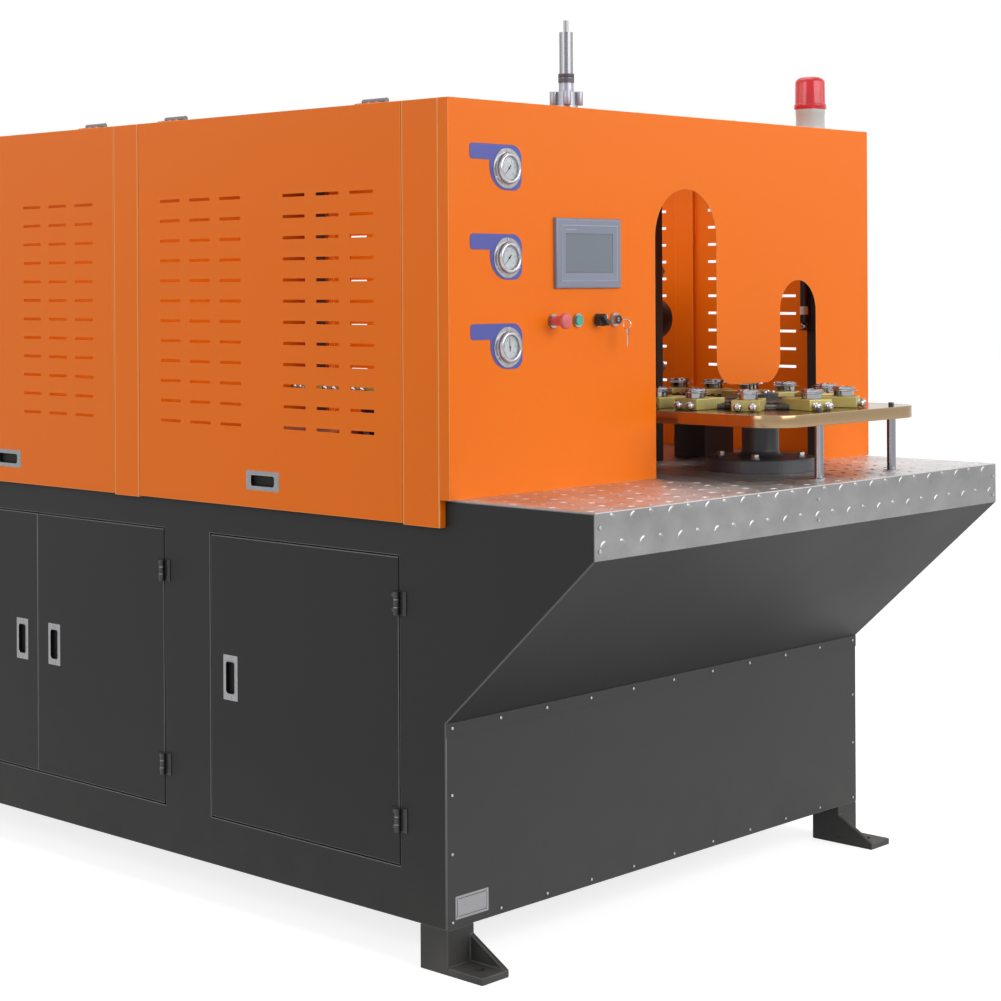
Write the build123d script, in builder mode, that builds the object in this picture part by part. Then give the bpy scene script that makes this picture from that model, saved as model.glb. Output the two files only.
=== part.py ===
from build123d import *
import os
from math import pi, radians, tan

os.makedirs("parts", exist_ok=True)

# An in-line stretch blow moulding machine. X runs across it, the front faces -Y and the floor is Z = 0.
# The origin is under the middle of the whole machine, feet and front table included.

# Overall sizes
width = 1528
table_reach = 377
corner_inset = 29.5
corner_post_width = 107
middle_post_width = 93
lift_door_length = 900
foot_reach = 68
cover_top = 1809
table_top = 982
side_cover_bottom = 924
base_bottom = 93

left = -width / 2
right = width / 2
body_length = 2 * (corner_inset + corner_post_width + lift_door_length) + middle_post_width
overall_length = table_reach + body_length + foot_reach
front = table_reach - overall_length / 2
rear = front + body_length
body_middle = (front + rear) / 2
table_front = front - table_reach

# Clearances
seat_gap = 0.3
running_fit = 0.05
panel_gap = 3
weld_gap = 0.5
slide_gap = 0.4

# Dark base cabinet
base_inset = 18
base_end_inset = 31.5
base_sheet = 3
frame_tube = 60
bed_thickness = 20
bed_front_reach = 150
table_sheet = 3
table_bend = 2.5
apron_height = 94
slope_foot = 519
bed_top = table_top - table_sheet
bed_bottom = bed_top - bed_thickness
base_left = left + base_inset
base_right = right - base_inset
base_front = front + base_end_inset
base_rear = rear - base_end_inset
tube_left = base_left + base_sheet
tube_front = base_front + base_sheet
tube_rear = base_rear - base_sheet
apron_bottom = table_top - apron_height

# Cabinet doors in the left side of the base
door_sheet = 2
door_fold = 13
cabinet_door_bottom = 204
cabinet_door_top = 852
cabinet_front_margin = 171
cabinet_rear_margin = 176
cabinet_post_width = 174
front_door_length = 621
front_door_start = front + cabinet_front_margin
front_door_end = front_door_start + front_door_length
middle_door_start = front_door_end + cabinet_post_width
rear_door_end = rear - cabinet_rear_margin
double_door_seam = (middle_door_start + rear_door_end) / 2
middle_post_y = (front_door_end + middle_door_start) / 2
cabinet_hinge_height = 50
cabinet_hinge_radius = 6
cabinet_hinge_stand = 8
cabinet_hinge_leaf = 23
cabinet_hinge_low = 299
cabinet_hinge_high = 755
leaf_thickness = 2

# Pull handles let into the doors
pull_flange = 1.5
pull_rim = 8
pull_depth = 12
pull_wall = 1.5
cover_pull_width = 113
cover_pull_height = 45
cover_pull_z = 988
cabinet_pull_width = 51
cabinet_pull_height = 104
cabinet_pull_z = 530
cabinet_pull_inset = 69
front_pull_y = front_door_end - cabinet_pull_inset
middle_pull_y = double_door_seam - cabinet_pull_inset
rear_pull_y = double_door_seam + cabinet_pull_inset

# Orange covers
cover_sheet = 2
panel_fold = 28
corner_post_start = front + corner_inset
lift_door_one = corner_post_start + corner_post_width
middle_post_start = lift_door_one + lift_door_length
lift_door_two = middle_post_start + middle_post_width
rear_post_start = lift_door_two + lift_door_length
slot_length = 73
slot_height = 7
slot_pitch = 109
slot_row_pitch = 46.6
slot_rows = 12
slot_columns = 3
slot_bottom_row = 1110
stiffener_width = 60
stiffener_depth = 13
stiffener_sheet = 1.5
stiffener_bottom = 1040

# Roof hinges of the lifting doors
roof_hinge_radius = 6.5
roof_hinge_length = 72
roof_hinge_inset = 30
roof_hinge_offset = 340
roof_leaf = 27
hinge_axis_z = cover_top + roof_hinge_radius
roof_edge_gap = 2

# Black frame inside the covers
inner_tube = 50
inner_inset = 30

# Opening in the front panel, round the carousel, which stands right of the machine's middle
chain_x = 239
opening_left = chain_x - 335
big_arch_right = chain_x - 107
small_arch_left = chain_x + 144
opening_right = chain_x + 295
big_arch_top = 1642
small_arch_top = 1431
tongue_bottom = 1184
tongue_radius = 60

# Carousel that carries the bottle necks
front_wheel_y = front - 45
pitch = 110
wheel_stations = 8
strand_stations = 12
chain_phase = 28
station_angle = 360 / wheel_stations
chain_run = pitch * chain_phase / station_angle
link_line = pitch / 2 / tan(pi / wheel_stations)
link_gap = 10
link_width = 16
link_height = 14
wheel_radius = link_line - link_width / 2 - seat_gap
wheel_height = 17
wheel_hub_radius = 40
wheel_hub_height = 32
block_width = 65
block_length = 106
block_height = 26
mandrel_reach = 63
mandrel_body_radius = 23.5
mandrel_body_height = 11
mandrel_flange_radius = 34
mandrel_flange_height = 3
mandrel_disc_radius = 25
mandrel_disc_height = 6
rear_wheel_y = front_wheel_y + strand_stations * pitch
strand_x = chain_x - link_line - mandrel_reach

# Guide plate and its supports
plate_top = 1132
plate_thickness = 28
plate_half_width = 294
plate_front_margin = 267
plate_corner_radius = 80
plate_slot_left = chain_x - 78
plate_slot_right = chain_x + 87
plate_slot_start = front + 200
plate_slot_end = front + 1120
carrier_bottom = plate_top + slide_gap
post_radius = 10.5
post_left_x = chain_x - 109
post_right_x = chain_x + 186
post_y = front - 288
pedestal_foot_radius = 130
pedestal_foot_height = 38
pedestal_radius = 44
pedestal_head_radius = 67.5
pedestal_head_height = 12
spigot_radius = 40
axle_radius = 20
axle_top = carrier_bottom + wheel_hub_height + 3.6

# Blow station over the left strand
clamp_y = front + 390
clamp_plate = 25
clamp_plate_width = 174
clamp_half_span = 237
bridge_thickness = 20
tie_bar_radius = 12.5
tie_bar_offset = 66
tie_bar_margin = 30
mould_bottom = 1184
mould_height = 300
mould_top = mould_bottom + mould_height
tie_bar_low = mould_bottom + tie_bar_margin
tie_bar_high = mould_top - tie_bar_margin
clamp_plate_top = mould_top + 116
mould_width = 170
mould_thickness = 65
mould_stroke = 80
bottle_radius = 35
bottle_neck_radius = 13
clamp_rod_radius = 15
clamp_cylinder_radius = 50
clamp_cylinder_length = 86
clamp_cylinder_wall = 10

# Base mould cylinder, standing through the roof
barrel_radius = 28
roof_hole_radius = 34
cap_bottom = cover_top + 51
cap_top = cap_bottom + 33
cap_radius = 24
cap_lobe_radius = 9.5
cap_lobe_offset = 22
base_rod_radius = 16.5
base_rod_top = cap_top + 145
collar_radius = 19
collar_bottom = cap_top + 22
collar_height = 22
tip_radius = 6
tip_top = base_rod_top + 29
base_mould_radius = 35
base_mould_height = 30

# Heating tunnel over the right strand
oven_start = front + 620
oven_length = 480
oven_bottom = 1170
oven_top = 1500
oven_sheet = 3
oven_fold = 30
oven_inner_x = chain_x + 80
oven_outer_x = chain_x + 307
oven_foot = 40
lamp_radius = 5
lamp_rows = 6
lamp_pitch = 50

# Controls on the front panel
gauge_x = left + 176
gauge_top_z = 1668
gauge_pitch = 188
gauge_count = 3
gauge_flange_radius = 43
gauge_bezel_radius = 36
gauge_lens_radius = 29.5
gauge_body_radius = 31
gauge_flange = 3
gauge_bezel_depth = 14
gauge_body_depth = 30
gauge_dial_depth = 4
screen_x = left + 430.5
screen_z = 1491
screen_case_width = 212
screen_case_height = 153
screen_case_depth = 6
screen_back_depth = 30
screen_back_margin = 7
screen_glass_width = 157
screen_glass_height = 85
screen_glass_recess = 2
control_z = 1345
stop_x = left + 317
start_x = left + 398
selector_x = left + 464
key_x = left + 522
collar_ring_radius = 15
collar_ring_depth = 5
stem_radius = 11
stem_depth = 20
control_hole_radius = 11.5

# Warning beacon
beacon_x = right - 108
beacon_y = front + 100
beacon_base_radius = 37.5
beacon_base_height = 58
dome_radius = 39.5
dome_height = 81
dome_wall = 2.5
dome_chamfer = 8
rotor_radius = 24
rotor_pin_radius = 3

# Feet
foot_width = 80
foot_pad_height = 16
foot_gusset = 12
foot_gusset_height = 56
foot_hole_radius = 12.5
foot_hole_reach = 46


def block(x, y, z, mode=Mode.ADD):
    """A rectangular block, given by its two ends along each axis."""
    with Locations(((x[0] + x[1]) / 2, (y[0] + y[1]) / 2, (z[0] + z[1]) / 2)):
        Box(x[1] - x[0], y[1] - y[0], z[1] - z[0], mode=mode)


def front_disc(x, z, radius, y_start, y_end, mode=Mode.ADD):
    """A round piece that faces the front, from one depth to another."""
    with BuildSketch(Plane.XZ.offset(-y_start)) as disc:
        with Locations((x, z)):
            Circle(radius)
    extrude(disc.sketch, amount=y_start - y_end, mode=mode)


def post(x, y, radius, z_start, z_end, mode=Mode.ADD):
    """An upright round piece."""
    with BuildSketch(Plane.XY.offset(z_start)) as disc:
        with Locations((x, y)):
            Circle(radius)
    extrude(disc.sketch, amount=z_end - z_start, mode=mode)


def cross_bar(y, z, radius, x_start, x_end, mode=Mode.ADD):
    """A round bar that lies across the machine."""
    with BuildSketch(Plane.YZ.offset(x_start)) as disc:
        with Locations((y, z)):
            Circle(radius)
    extrude(disc.sketch, amount=x_end - x_start, mode=mode)


# Feet: a square column on a long pad with a floor bolt hole, and a gusset on the inner side
with BuildPart() as feet:
    block(
        (base_left, base_left + foot_width),
        (front - foot_reach, base_front + foot_width),
        (0, foot_pad_height),
    )
    block(
        (base_left, base_left + foot_width),
        (base_front, base_front + foot_width),
        (foot_pad_height, base_bottom),
    )
    with BuildSketch(Plane.YZ.offset(base_left + foot_width - foot_gusset)):
        with BuildLine():
            Polyline(
                (front - foot_reach, foot_pad_height),
                (base_front, foot_pad_height),
                (base_front, foot_pad_height + foot_gusset_height),
                close=True,
            )
        make_face()
    extrude(amount=foot_gusset)
    post(
        base_left + foot_width / 2,
        front - foot_reach + foot_hole_reach,
        foot_hole_radius,
        0,
        foot_pad_height,
        mode=Mode.SUBTRACT,
    )
    mirror(about=Plane.YZ)
    mirror(about=Plane.XZ.offset(-body_middle))
feet.part.label = "feet"
export_step(feet.part, "parts/feet.step")

# Base frame: welded square tube, with a door bay each side of its middle post
with BuildPart() as base_frame:
    for post_start in (
        tube_front,
        middle_post_y - frame_tube / 2,
        tube_rear - frame_tube,
    ):
        block(
            (tube_left, tube_left + frame_tube),
            (post_start, post_start + frame_tube),
            (base_bottom + base_sheet, bed_bottom),
        )
        for rail_bottom in (base_bottom + base_sheet, bed_bottom - frame_tube):
            block(
                (tube_left, 0),
                (post_start, post_start + frame_tube),
                (rail_bottom, rail_bottom + frame_tube),
            )
    for rail_bottom in (base_bottom + base_sheet, bed_bottom - frame_tube):
        block(
            (tube_left, tube_left + frame_tube),
            (tube_front, tube_rear),
            (rail_bottom, rail_bottom + frame_tube),
        )
    mirror(about=Plane.YZ)
base_frame.part.label = "base_frame"
export_step(base_frame.part, "parts/base_frame.step")


def side_outline():
    """The base's side sheet, with the cheek that carries the front table."""
    with BuildLine() as outline:
        Polyline(
            (tube_front, base_bottom),
            (tube_front, slope_foot),
            (table_front + table_sheet, apron_bottom),
            (table_front + table_sheet, bed_top),
            (base_rear, bed_top),
            (base_rear, base_bottom),
            close=True,
        )
    make_face(outline.edges())


# Left side sheet of the base, cut out for one single and one double door
cabinet_door_middle = (cabinet_door_bottom + cabinet_door_top) / 2
cabinet_hole_height = cabinet_door_top - cabinet_door_bottom + 2 * panel_gap
with BuildPart() as base_left_side:
    with BuildSketch(Plane.YZ.offset(base_left)):
        side_outline()
        for hole_start, hole_end in (
            (front_door_start, front_door_end),
            (middle_door_start, rear_door_end),
        ):
            with Locations(((hole_start + hole_end) / 2, cabinet_door_middle)):
                Rectangle(
                    hole_end - hole_start + 2 * panel_gap,
                    cabinet_hole_height,
                    mode=Mode.SUBTRACT,
                )
    extrude(amount=base_sheet)
base_left_side.part.label = "base_left_side"
export_step(base_left_side.part, "parts/base_left_side.step")

# Right side, rear and floor sheets of the base, folded as one shell
with BuildPart() as base_shell:
    with BuildSketch(Plane.YZ.offset(base_right - base_sheet)):
        side_outline()
    extrude(amount=base_sheet)
    block((tube_left, base_right), (tube_rear, base_rear), (base_bottom, bed_top))
    block(
        (tube_left, base_right),
        (tube_front, base_rear),
        (base_bottom, base_bottom + base_sheet),
    )
base_shell.part.label = "base_shell"
export_step(base_shell.part, "parts/base_shell.step")

# Lower front cover, screwed over the front of the base
with BuildPart() as front_cover:
    block((base_left, base_right), (base_front, tube_front), (base_bottom, slope_foot))
front_cover.part.label = "front_cover"
export_step(front_cover.part, "parts/front_cover.step")

# Sloping sheet under the front table
with BuildPart() as slope_panel:
    with BuildSketch(Plane.YZ.offset(base_left)):
        with BuildLine():
            Polyline(
                (table_front, apron_bottom),
                (base_front, slope_foot),
                (tube_front, slope_foot),
                (table_front + table_sheet, apron_bottom),
                close=True,
            )
        make_face()
    extrude(amount=base_right - base_left)
slope_panel.part.label = "slope_panel"
export_step(slope_panel.part, "parts/slope_panel.step")

# Thick bed plate that carries the carousel, the blow station and the heating tunnel
with BuildPart() as bed_plate:
    block(
        (tube_left, base_right - base_sheet),
        (front - bed_front_reach, tube_rear),
        (bed_bottom, bed_top),
    )
bed_plate.part.label = "bed_plate"
export_step(bed_plate.part, "parts/bed_plate.step")

# Front table: one folded sheet with an apron, reaching in under the covers
table_inner_margin = 110
table_inner_end = front + 290
with BuildPart() as table_plate:
    with BuildSketch(Plane.YZ.offset(base_left)):
        with BuildLine():
            Polyline(
                (table_front, apron_bottom),
                (table_front, table_top),
                (base_front, table_top),
                (base_front, bed_top),
                (table_front + table_sheet, bed_top),
                (table_front + table_sheet, apron_bottom),
                close=True,
            )
        make_face()
    extrude(amount=base_right - base_left)
    fold_edge = table_plate.edges().filter_by(Axis.X).group_by(Axis.Y)[0].sort_by(Axis.Z)[-1]
    fillet(fold_edge, radius=table_bend)
    block(
        (left + table_inner_margin, right - table_inner_margin),
        (base_front, table_inner_end),
        (bed_top, table_top),
    )
table_plate.part.label = "table_plate"
export_step(table_plate.part, "parts/table_plate.step")

# Front panel: an orange tray with the two-arched opening and the holes of the controls
with BuildPart() as front_panel:
    with BuildSketch(Plane.XZ.offset(-front)):
        with Locations((0, (table_top + cover_top) / 2)):
            Rectangle(width, cover_top - table_top)
        for gauge in range(gauge_count):
            with Locations((gauge_x, gauge_top_z - gauge * gauge_pitch)):
                Circle(gauge_body_radius + seat_gap, mode=Mode.SUBTRACT)
        with Locations((screen_x, screen_z)):
            Rectangle(
                screen_case_width - 2 * screen_back_margin + 2 * seat_gap,
                screen_case_height - 2 * screen_back_margin + 2 * seat_gap,
                mode=Mode.SUBTRACT,
            )
        for control_x in (stop_x, start_x, selector_x, key_x):
            with Locations((control_x, control_z)):
                Circle(control_hole_radius, mode=Mode.SUBTRACT)
    extrude(amount=-cover_sheet)
    with BuildSketch(Plane.XZ.offset(-front)) as opening:
        for arch_left, arch_right, arch_top in (
            (opening_left, big_arch_right, big_arch_top),
            (small_arch_left, opening_right, small_arch_top),
        ):
            arch_radius = (arch_right - arch_left) / 2
            spring_z = arch_top - arch_radius
            with Locations(((arch_left + arch_right) / 2, (table_top + spring_z) / 2)):
                Rectangle(2 * arch_radius, spring_z - table_top)
            with Locations(((arch_left + arch_right) / 2, spring_z)):
                Circle(arch_radius)
        with Locations(((opening_left + opening_right) / 2, (table_top + tongue_bottom) / 2)):
            Rectangle(opening_right - opening_left, tongue_bottom - table_top)
        tongue_corners = opening.vertices().filter_by(
            lambda v: abs(v.Y - tongue_bottom) < 1 and opening_left + 1 < v.X < opening_right - 1
        )
        fillet(tongue_corners, radius=tongue_radius)
    extrude(amount=-cover_sheet, mode=Mode.SUBTRACT)
    for fold_x in (left, right - cover_sheet):
        block((fold_x, fold_x + cover_sheet), (front, front + panel_fold), (table_top, cover_top))
    block((left, right), (front, front + panel_fold), (cover_top - cover_sheet, cover_top))
front_panel.part.label = "front_panel"
export_step(front_panel.part, "parts/front_panel.step")

# Rear panel: a plain tray that hangs over the back of the base
with BuildPart() as rear_panel:
    block((left, right), (rear - cover_sheet, rear), (side_cover_bottom, cover_top))
    for fold_x in (left, right - cover_sheet):
        block(
            (fold_x, fold_x + cover_sheet),
            (rear - panel_fold, rear),
            (side_cover_bottom, cover_top),
        )
    block((left, right), (rear - panel_fold, rear), (cover_top - cover_sheet, cover_top))
rear_panel.part.label = "rear_panel"
export_step(rear_panel.part, "parts/rear_panel.step")

# Roof sheet between the hinge lines, with a hole for the base mould cylinder
roof_half_width = width / 2 - roof_hinge_inset - roof_edge_gap
with BuildPart() as roof_panel:
    with BuildSketch(Plane.XY.offset(cover_top - cover_sheet)):
        with Locations((0, body_middle)):
            Rectangle(2 * roof_half_width, body_length - 2 * panel_fold - 2 * weld_gap)
        with Locations((strand_x, clamp_y)):
            Circle(roof_hole_radius, mode=Mode.SUBTRACT)
    extrude(amount=cover_sheet)
roof_panel.part.label = "roof_panel"
export_step(roof_panel.part, "parts/roof_panel.step")

# Side posts: folded channels at the corners and between the lifting doors
with BuildPart() as side_posts:
    for post_start, post_length in (
        (corner_post_start, corner_post_width),
        (middle_post_start, middle_post_width),
        (rear_post_start, corner_post_width),
    ):
        post_end = post_start + post_length
        block(
            (left, left + cover_sheet),
            (post_start, post_end),
            (side_cover_bottom, cover_top),
        )
        for fold_y in (post_start, post_end - cover_sheet):
            block(
                (left, base_left),
                (fold_y, fold_y + cover_sheet),
                (side_cover_bottom, cover_top),
            )
        block(
            (left, -roof_half_width - weld_gap),
            (post_start, post_end),
            (cover_top - cover_sheet, cover_top),
        )
    mirror(about=Plane.YZ)
side_posts.part.label = "side_posts"
export_step(side_posts.part, "parts/side_posts.step")

# Black frame inside the covers: six posts on the bed and a ring of rails under the roof
inner_left = left + inner_inset
inner_rail_bottom = cover_top - cover_sheet - inner_tube
inner_posts = (
    corner_post_start + corner_post_width - inner_tube - cover_sheet,
    middle_post_start + (middle_post_width - inner_tube) / 2,
    rear_post_start + cover_sheet,
)
with BuildPart() as inner_frame:
    for post_start in inner_posts:
        block(
            (inner_left, inner_left + inner_tube),
            (post_start, post_start + inner_tube),
            (bed_top, cover_top - cover_sheet),
        )
        block(
            (inner_left, 0),
            (post_start, post_start + inner_tube),
            (inner_rail_bottom, cover_top - cover_sheet),
        )
    block(
        (inner_left, inner_left + inner_tube),
        (inner_posts[0], inner_posts[-1] + inner_tube),
        (inner_rail_bottom, cover_top - cover_sheet),
    )
    mirror(about=Plane.YZ)
inner_frame.part.label = "inner_frame"
export_step(inner_frame.part, "parts/inner_frame.step")

# Fixed halves of the roof hinges: a barrel on the hinge line and a leaf on the roof
hinge_line_x = left + roof_hinge_inset
lift_doors = (lift_door_one, lift_door_two)
with BuildPart() as roof_hinges:
    for door_start in lift_doors:
        for offset_y in (-roof_hinge_offset, roof_hinge_offset):
            hinge_y = door_start + lift_door_length / 2 + offset_y
            with BuildSketch(Plane.XZ.offset(roof_hinge_length / 2 - hinge_y)):
                with Locations((hinge_line_x, hinge_axis_z)):
                    Circle(roof_hinge_radius)
            extrude(amount=-roof_hinge_length)
            block(
                (hinge_line_x + roof_edge_gap, hinge_line_x + roof_leaf),
                (hinge_y - roof_hinge_length / 2, hinge_y + roof_hinge_length / 2),
                (cover_top, cover_top + leaf_thickness),
            )
    mirror(about=Plane.YZ)
roof_hinges.part.label = "roof_hinges"
export_step(roof_hinges.part, "parts/roof_hinges.step")


def slot_field(centre_y):
    """Rows of slots in two groups, one each side of the door's stiffener."""
    group_offset = slot_pitch * (slot_columns + 1) / 2
    middle_row = slot_bottom_row + slot_row_pitch * (slot_rows - 1) / 2
    with Locations((centre_y - group_offset, middle_row), (centre_y + group_offset, middle_row)):
        with GridLocations(slot_pitch, slot_row_pitch, slot_columns, slot_rows):
            Rectangle(slot_length, slot_height, mode=Mode.SUBTRACT)


def lifting_door(name, bay_start, mirrored):
    """One lifting door: a slotted tray with a stiffener, hung from the roof's edge."""
    door_start = bay_start + panel_gap
    door_end = bay_start + lift_door_length - panel_gap
    door_bottom = side_cover_bottom + panel_gap
    centre_y = (door_start + door_end) / 2
    with BuildPart() as door:
        with BuildSketch(Plane.YZ.offset(left)):
            with Locations((centre_y, (door_bottom + cover_top) / 2)):
                Rectangle(door_end - door_start, cover_top - door_bottom)
            slot_field(centre_y)
            with Locations((centre_y, cover_pull_z)):
                Rectangle(
                    cover_pull_width - 2 * pull_rim + 2 * seat_gap,
                    cover_pull_height - 2 * pull_rim + 2 * seat_gap,
                    mode=Mode.SUBTRACT,
                )
        extrude(amount=cover_sheet)
        for fold_y in (door_start, door_end - cover_sheet):
            block(
                (left, left + door_fold),
                (fold_y, fold_y + cover_sheet),
                (door_bottom, cover_top),
            )
        block((left, left + door_fold), (door_start, door_end), (door_bottom, door_bottom + cover_sheet))
        block(
            (left, hinge_line_x - roof_edge_gap),
            (door_start, door_end),
            (cover_top - cover_sheet, cover_top),
        )
        with BuildSketch(Plane.XY.offset(stiffener_bottom)):
            with Locations((left + cover_sheet + stiffener_depth / 2, centre_y)):
                Rectangle(stiffener_depth, stiffener_width)
            with Locations((left + cover_sheet + (stiffener_depth - stiffener_sheet) / 2, centre_y)):
                Rectangle(
                    stiffener_depth - stiffener_sheet,
                    stiffener_width - 2 * stiffener_sheet,
                    mode=Mode.SUBTRACT,
                )
        extrude(amount=cover_top - cover_sheet - stiffener_bottom)
        for offset_y in (-roof_hinge_offset, roof_hinge_offset):
            hinge_y = bay_start + lift_door_length / 2 + offset_y
            block(
                (hinge_line_x - roof_leaf, hinge_line_x - roof_hinge_radius - roof_edge_gap),
                (hinge_y - roof_hinge_length / 2, hinge_y + roof_hinge_length / 2),
                (cover_top, cover_top + leaf_thickness),
            )
        if mirrored:
            mirror(about=Plane.YZ, mode=Mode.REPLACE)
    door.part.label = name
    export_step(door.part, f"parts/{name}.step")


def pull_handle(name, outer_x, centre_y, centre_z, flange_width, flange_height, mirrored):
    """A pressed pull handle: a rim on the door's face round a cup for the fingers."""
    cup_width = flange_width - 2 * pull_rim
    cup_height = flange_height - 2 * pull_rim
    with BuildPart() as pull:
        with BuildSketch(Plane.YZ.offset(outer_x - pull_flange)):
            with Locations((centre_y, centre_z)):
                RectangleRounded(flange_width, flange_height, pull_rim / 2)
        extrude(amount=pull_flange)
        with BuildSketch(Plane.YZ.offset(outer_x)):
            with Locations((centre_y, centre_z)):
                Rectangle(cup_width, cup_height)
        extrude(amount=pull_depth)
        with BuildSketch(Plane.YZ.offset(outer_x - pull_flange)):
            with Locations((centre_y, centre_z)):
                Rectangle(cup_width - 2 * pull_wall, cup_height - 2 * pull_wall)
        extrude(amount=pull_flange + pull_depth - pull_wall, mode=Mode.SUBTRACT)
        if mirrored:
            mirror(about=Plane.YZ, mode=Mode.REPLACE)
    pull.part.label = name
    export_step(pull.part, f"parts/{name}.step")


for side_name, mirrored in (("left", False), ("right", True)):
    for place_name, bay_start in (("front", lift_door_one), ("rear", lift_door_two)):
        lifting_door(f"{side_name}_{place_name}_lift_door", bay_start, mirrored)
        pull_handle(
            f"{side_name}_{place_name}_pull",
            left,
            bay_start + lift_door_length / 2,
            cover_pull_z,
            cover_pull_width,
            cover_pull_height,
            mirrored,
        )

# Cabinet hinges: a barrel outside each door's hinge edge and a leaf on the side sheet
hinge_barrel_x = base_left - cabinet_hinge_stand
cabinet_hinge_edges = (
    (front_door_start, -1),
    (middle_door_start, -1),
    (rear_door_end, 1),
)
cabinet_hinge_heights = (cabinet_hinge_low, cabinet_hinge_high)
with BuildPart() as cabinet_hinges:
    for door_edge, outward in cabinet_hinge_edges:
        barrel_y = door_edge + outward * panel_gap / 2
        leaf_ends = sorted((barrel_y, barrel_y + outward * cabinet_hinge_leaf))
        for hinge_z in cabinet_hinge_heights:
            hinge_span = (hinge_z - cabinet_hinge_height / 2, hinge_z + cabinet_hinge_height / 2)
            post(hinge_barrel_x, barrel_y, cabinet_hinge_radius, hinge_span[0], hinge_span[1])
            block((base_left - leaf_thickness, base_left), leaf_ends, hinge_span)
            web_ends = sorted((barrel_y, barrel_y + outward * leaf_thickness))
            block((hinge_barrel_x, base_left), web_ends, hinge_span)
cabinet_hinges.part.label = "cabinet_hinges"
export_step(cabinet_hinges.part, "parts/cabinet_hinges.step")


def cabinet_door(name, door_start, door_end, hinge_outward, pull_y):
    """One cabinet door: a folded tray flush with the side sheet, with its hinge leaves."""
    middle_y = (door_start + door_end) / 2
    hinge_edge = door_end if hinge_outward > 0 else door_start
    with BuildPart() as door:
        with BuildSketch(Plane.YZ.offset(base_left)):
            with Locations((middle_y, cabinet_door_middle)):
                Rectangle(door_end - door_start, cabinet_door_top - cabinet_door_bottom)
            with Locations((pull_y, cabinet_pull_z)):
                Rectangle(
                    cabinet_pull_width - 2 * pull_rim + 2 * seat_gap,
                    cabinet_pull_height - 2 * pull_rim + 2 * seat_gap,
                    mode=Mode.SUBTRACT,
                )
        extrude(amount=door_sheet)
        for fold_y in (door_start, door_end - door_sheet):
            block(
                (base_left, base_left + door_fold),
                (fold_y, fold_y + door_sheet),
                (cabinet_door_bottom, cabinet_door_top),
            )
        for fold_z in (cabinet_door_bottom, cabinet_door_top - door_sheet):
            block(
                (base_left, base_left + door_fold),
                (door_start, door_end),
                (fold_z, fold_z + door_sheet),
            )
        leaf_ends = sorted((hinge_edge, hinge_edge - hinge_outward * cabinet_hinge_leaf))
        for hinge_z in cabinet_hinge_heights:
            block(
                (base_left - leaf_thickness, base_left),
                leaf_ends,
                (hinge_z - cabinet_hinge_height / 2, hinge_z + cabinet_hinge_height / 2),
            )
    door.part.label = name
    export_step(door.part, f"parts/{name}.step")
    pull_handle(
        f"{name}_pull",
        base_left,
        pull_y,
        cabinet_pull_z,
        cabinet_pull_width,
        cabinet_pull_height,
        False,
    )


half_seam = panel_gap / 2
cabinet_door("front_cabinet_door", front_door_start, front_door_end, -1, front_pull_y)
cabinet_door("middle_cabinet_door", middle_door_start, double_door_seam - half_seam, -1, middle_pull_y)
cabinet_door("rear_cabinet_door", double_door_seam + half_seam, rear_door_end, 1, rear_pull_y)

# Electrical board behind the front cabinet door, with its row of drives and breakers
board_x = base_left + 190
board_start = front_door_start + 29
board_end = front_door_end - 22
board_top = cabinet_door_top - 12
board_bottom = base_bottom + base_sheet
board_foot = 40
device_margin = 60
drive_count = 3
drive_pitch = 150
drive_width = 110
drive_height = 140
drive_depth = 90
drive_bottom = 560
relay_height = 70
relay_depth = 72
relay_bottom = 400
terminal_height = 40
terminal_depth = 45
terminal_bottom = 260
with BuildPart() as electrical_board:
    block((board_x, board_x + base_sheet), (board_start, board_end), (board_bottom, board_top))
    block(
        (board_x, board_x + board_foot),
        (board_start, board_end),
        (board_bottom, board_bottom + base_sheet),
    )
    for drive in range(drive_count):
        drive_start = board_start + device_margin + drive * drive_pitch
        block(
            (board_x - drive_depth, board_x),
            (drive_start, drive_start + drive_width),
            (drive_bottom, drive_bottom + drive_height),
        )
    block(
        (board_x - relay_depth, board_x),
        (board_start + device_margin, board_end - device_margin),
        (relay_bottom, relay_bottom + relay_height),
    )
    block(
        (board_x - terminal_depth, board_x),
        (board_start + device_margin, board_end - device_margin),
        (terminal_bottom, terminal_bottom + terminal_height),
    )
electrical_board.part.label = "electrical_board"
export_step(electrical_board.part, "parts/electrical_board.step")

# Guide plate: the brass-plated table that the carriers slide on, slotted between the strands
plate_front = front_wheel_y - plate_front_margin
plate_rear = rear_wheel_y + plate_front_margin
with BuildPart() as guide_plate:
    with BuildSketch(Plane.XY.offset(plate_top - plate_thickness)) as plate_outline:
        with Locations((chain_x, (plate_front + plate_rear) / 2)):
            RectangleRounded(2 * plate_half_width, plate_rear - plate_front, plate_corner_radius)
        with Locations(
            (
                (plate_slot_left + plate_slot_right) / 2,
                (plate_slot_start + plate_slot_end) / 2,
            )
        ):
            Rectangle(
                plate_slot_right - plate_slot_left,
                plate_slot_end - plate_slot_start,
                mode=Mode.SUBTRACT,
            )
        with Locations((chain_x, front_wheel_y), (chain_x, rear_wheel_y)):
            Circle(spigot_radius + seat_gap, mode=Mode.SUBTRACT)
    extrude(amount=plate_thickness)
guide_plate.part.label = "guide_plate"
export_step(guide_plate.part, "parts/guide_plate.step")

# Two bright posts under the front edge of the guide plate
with BuildPart() as plate_posts:
    for post_x in (post_left_x, post_right_x):
        post(post_x, post_y, post_radius, table_top, plate_top - plate_thickness)
plate_posts.part.label = "plate_posts"
export_step(plate_posts.part, "parts/plate_posts.step")

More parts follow.
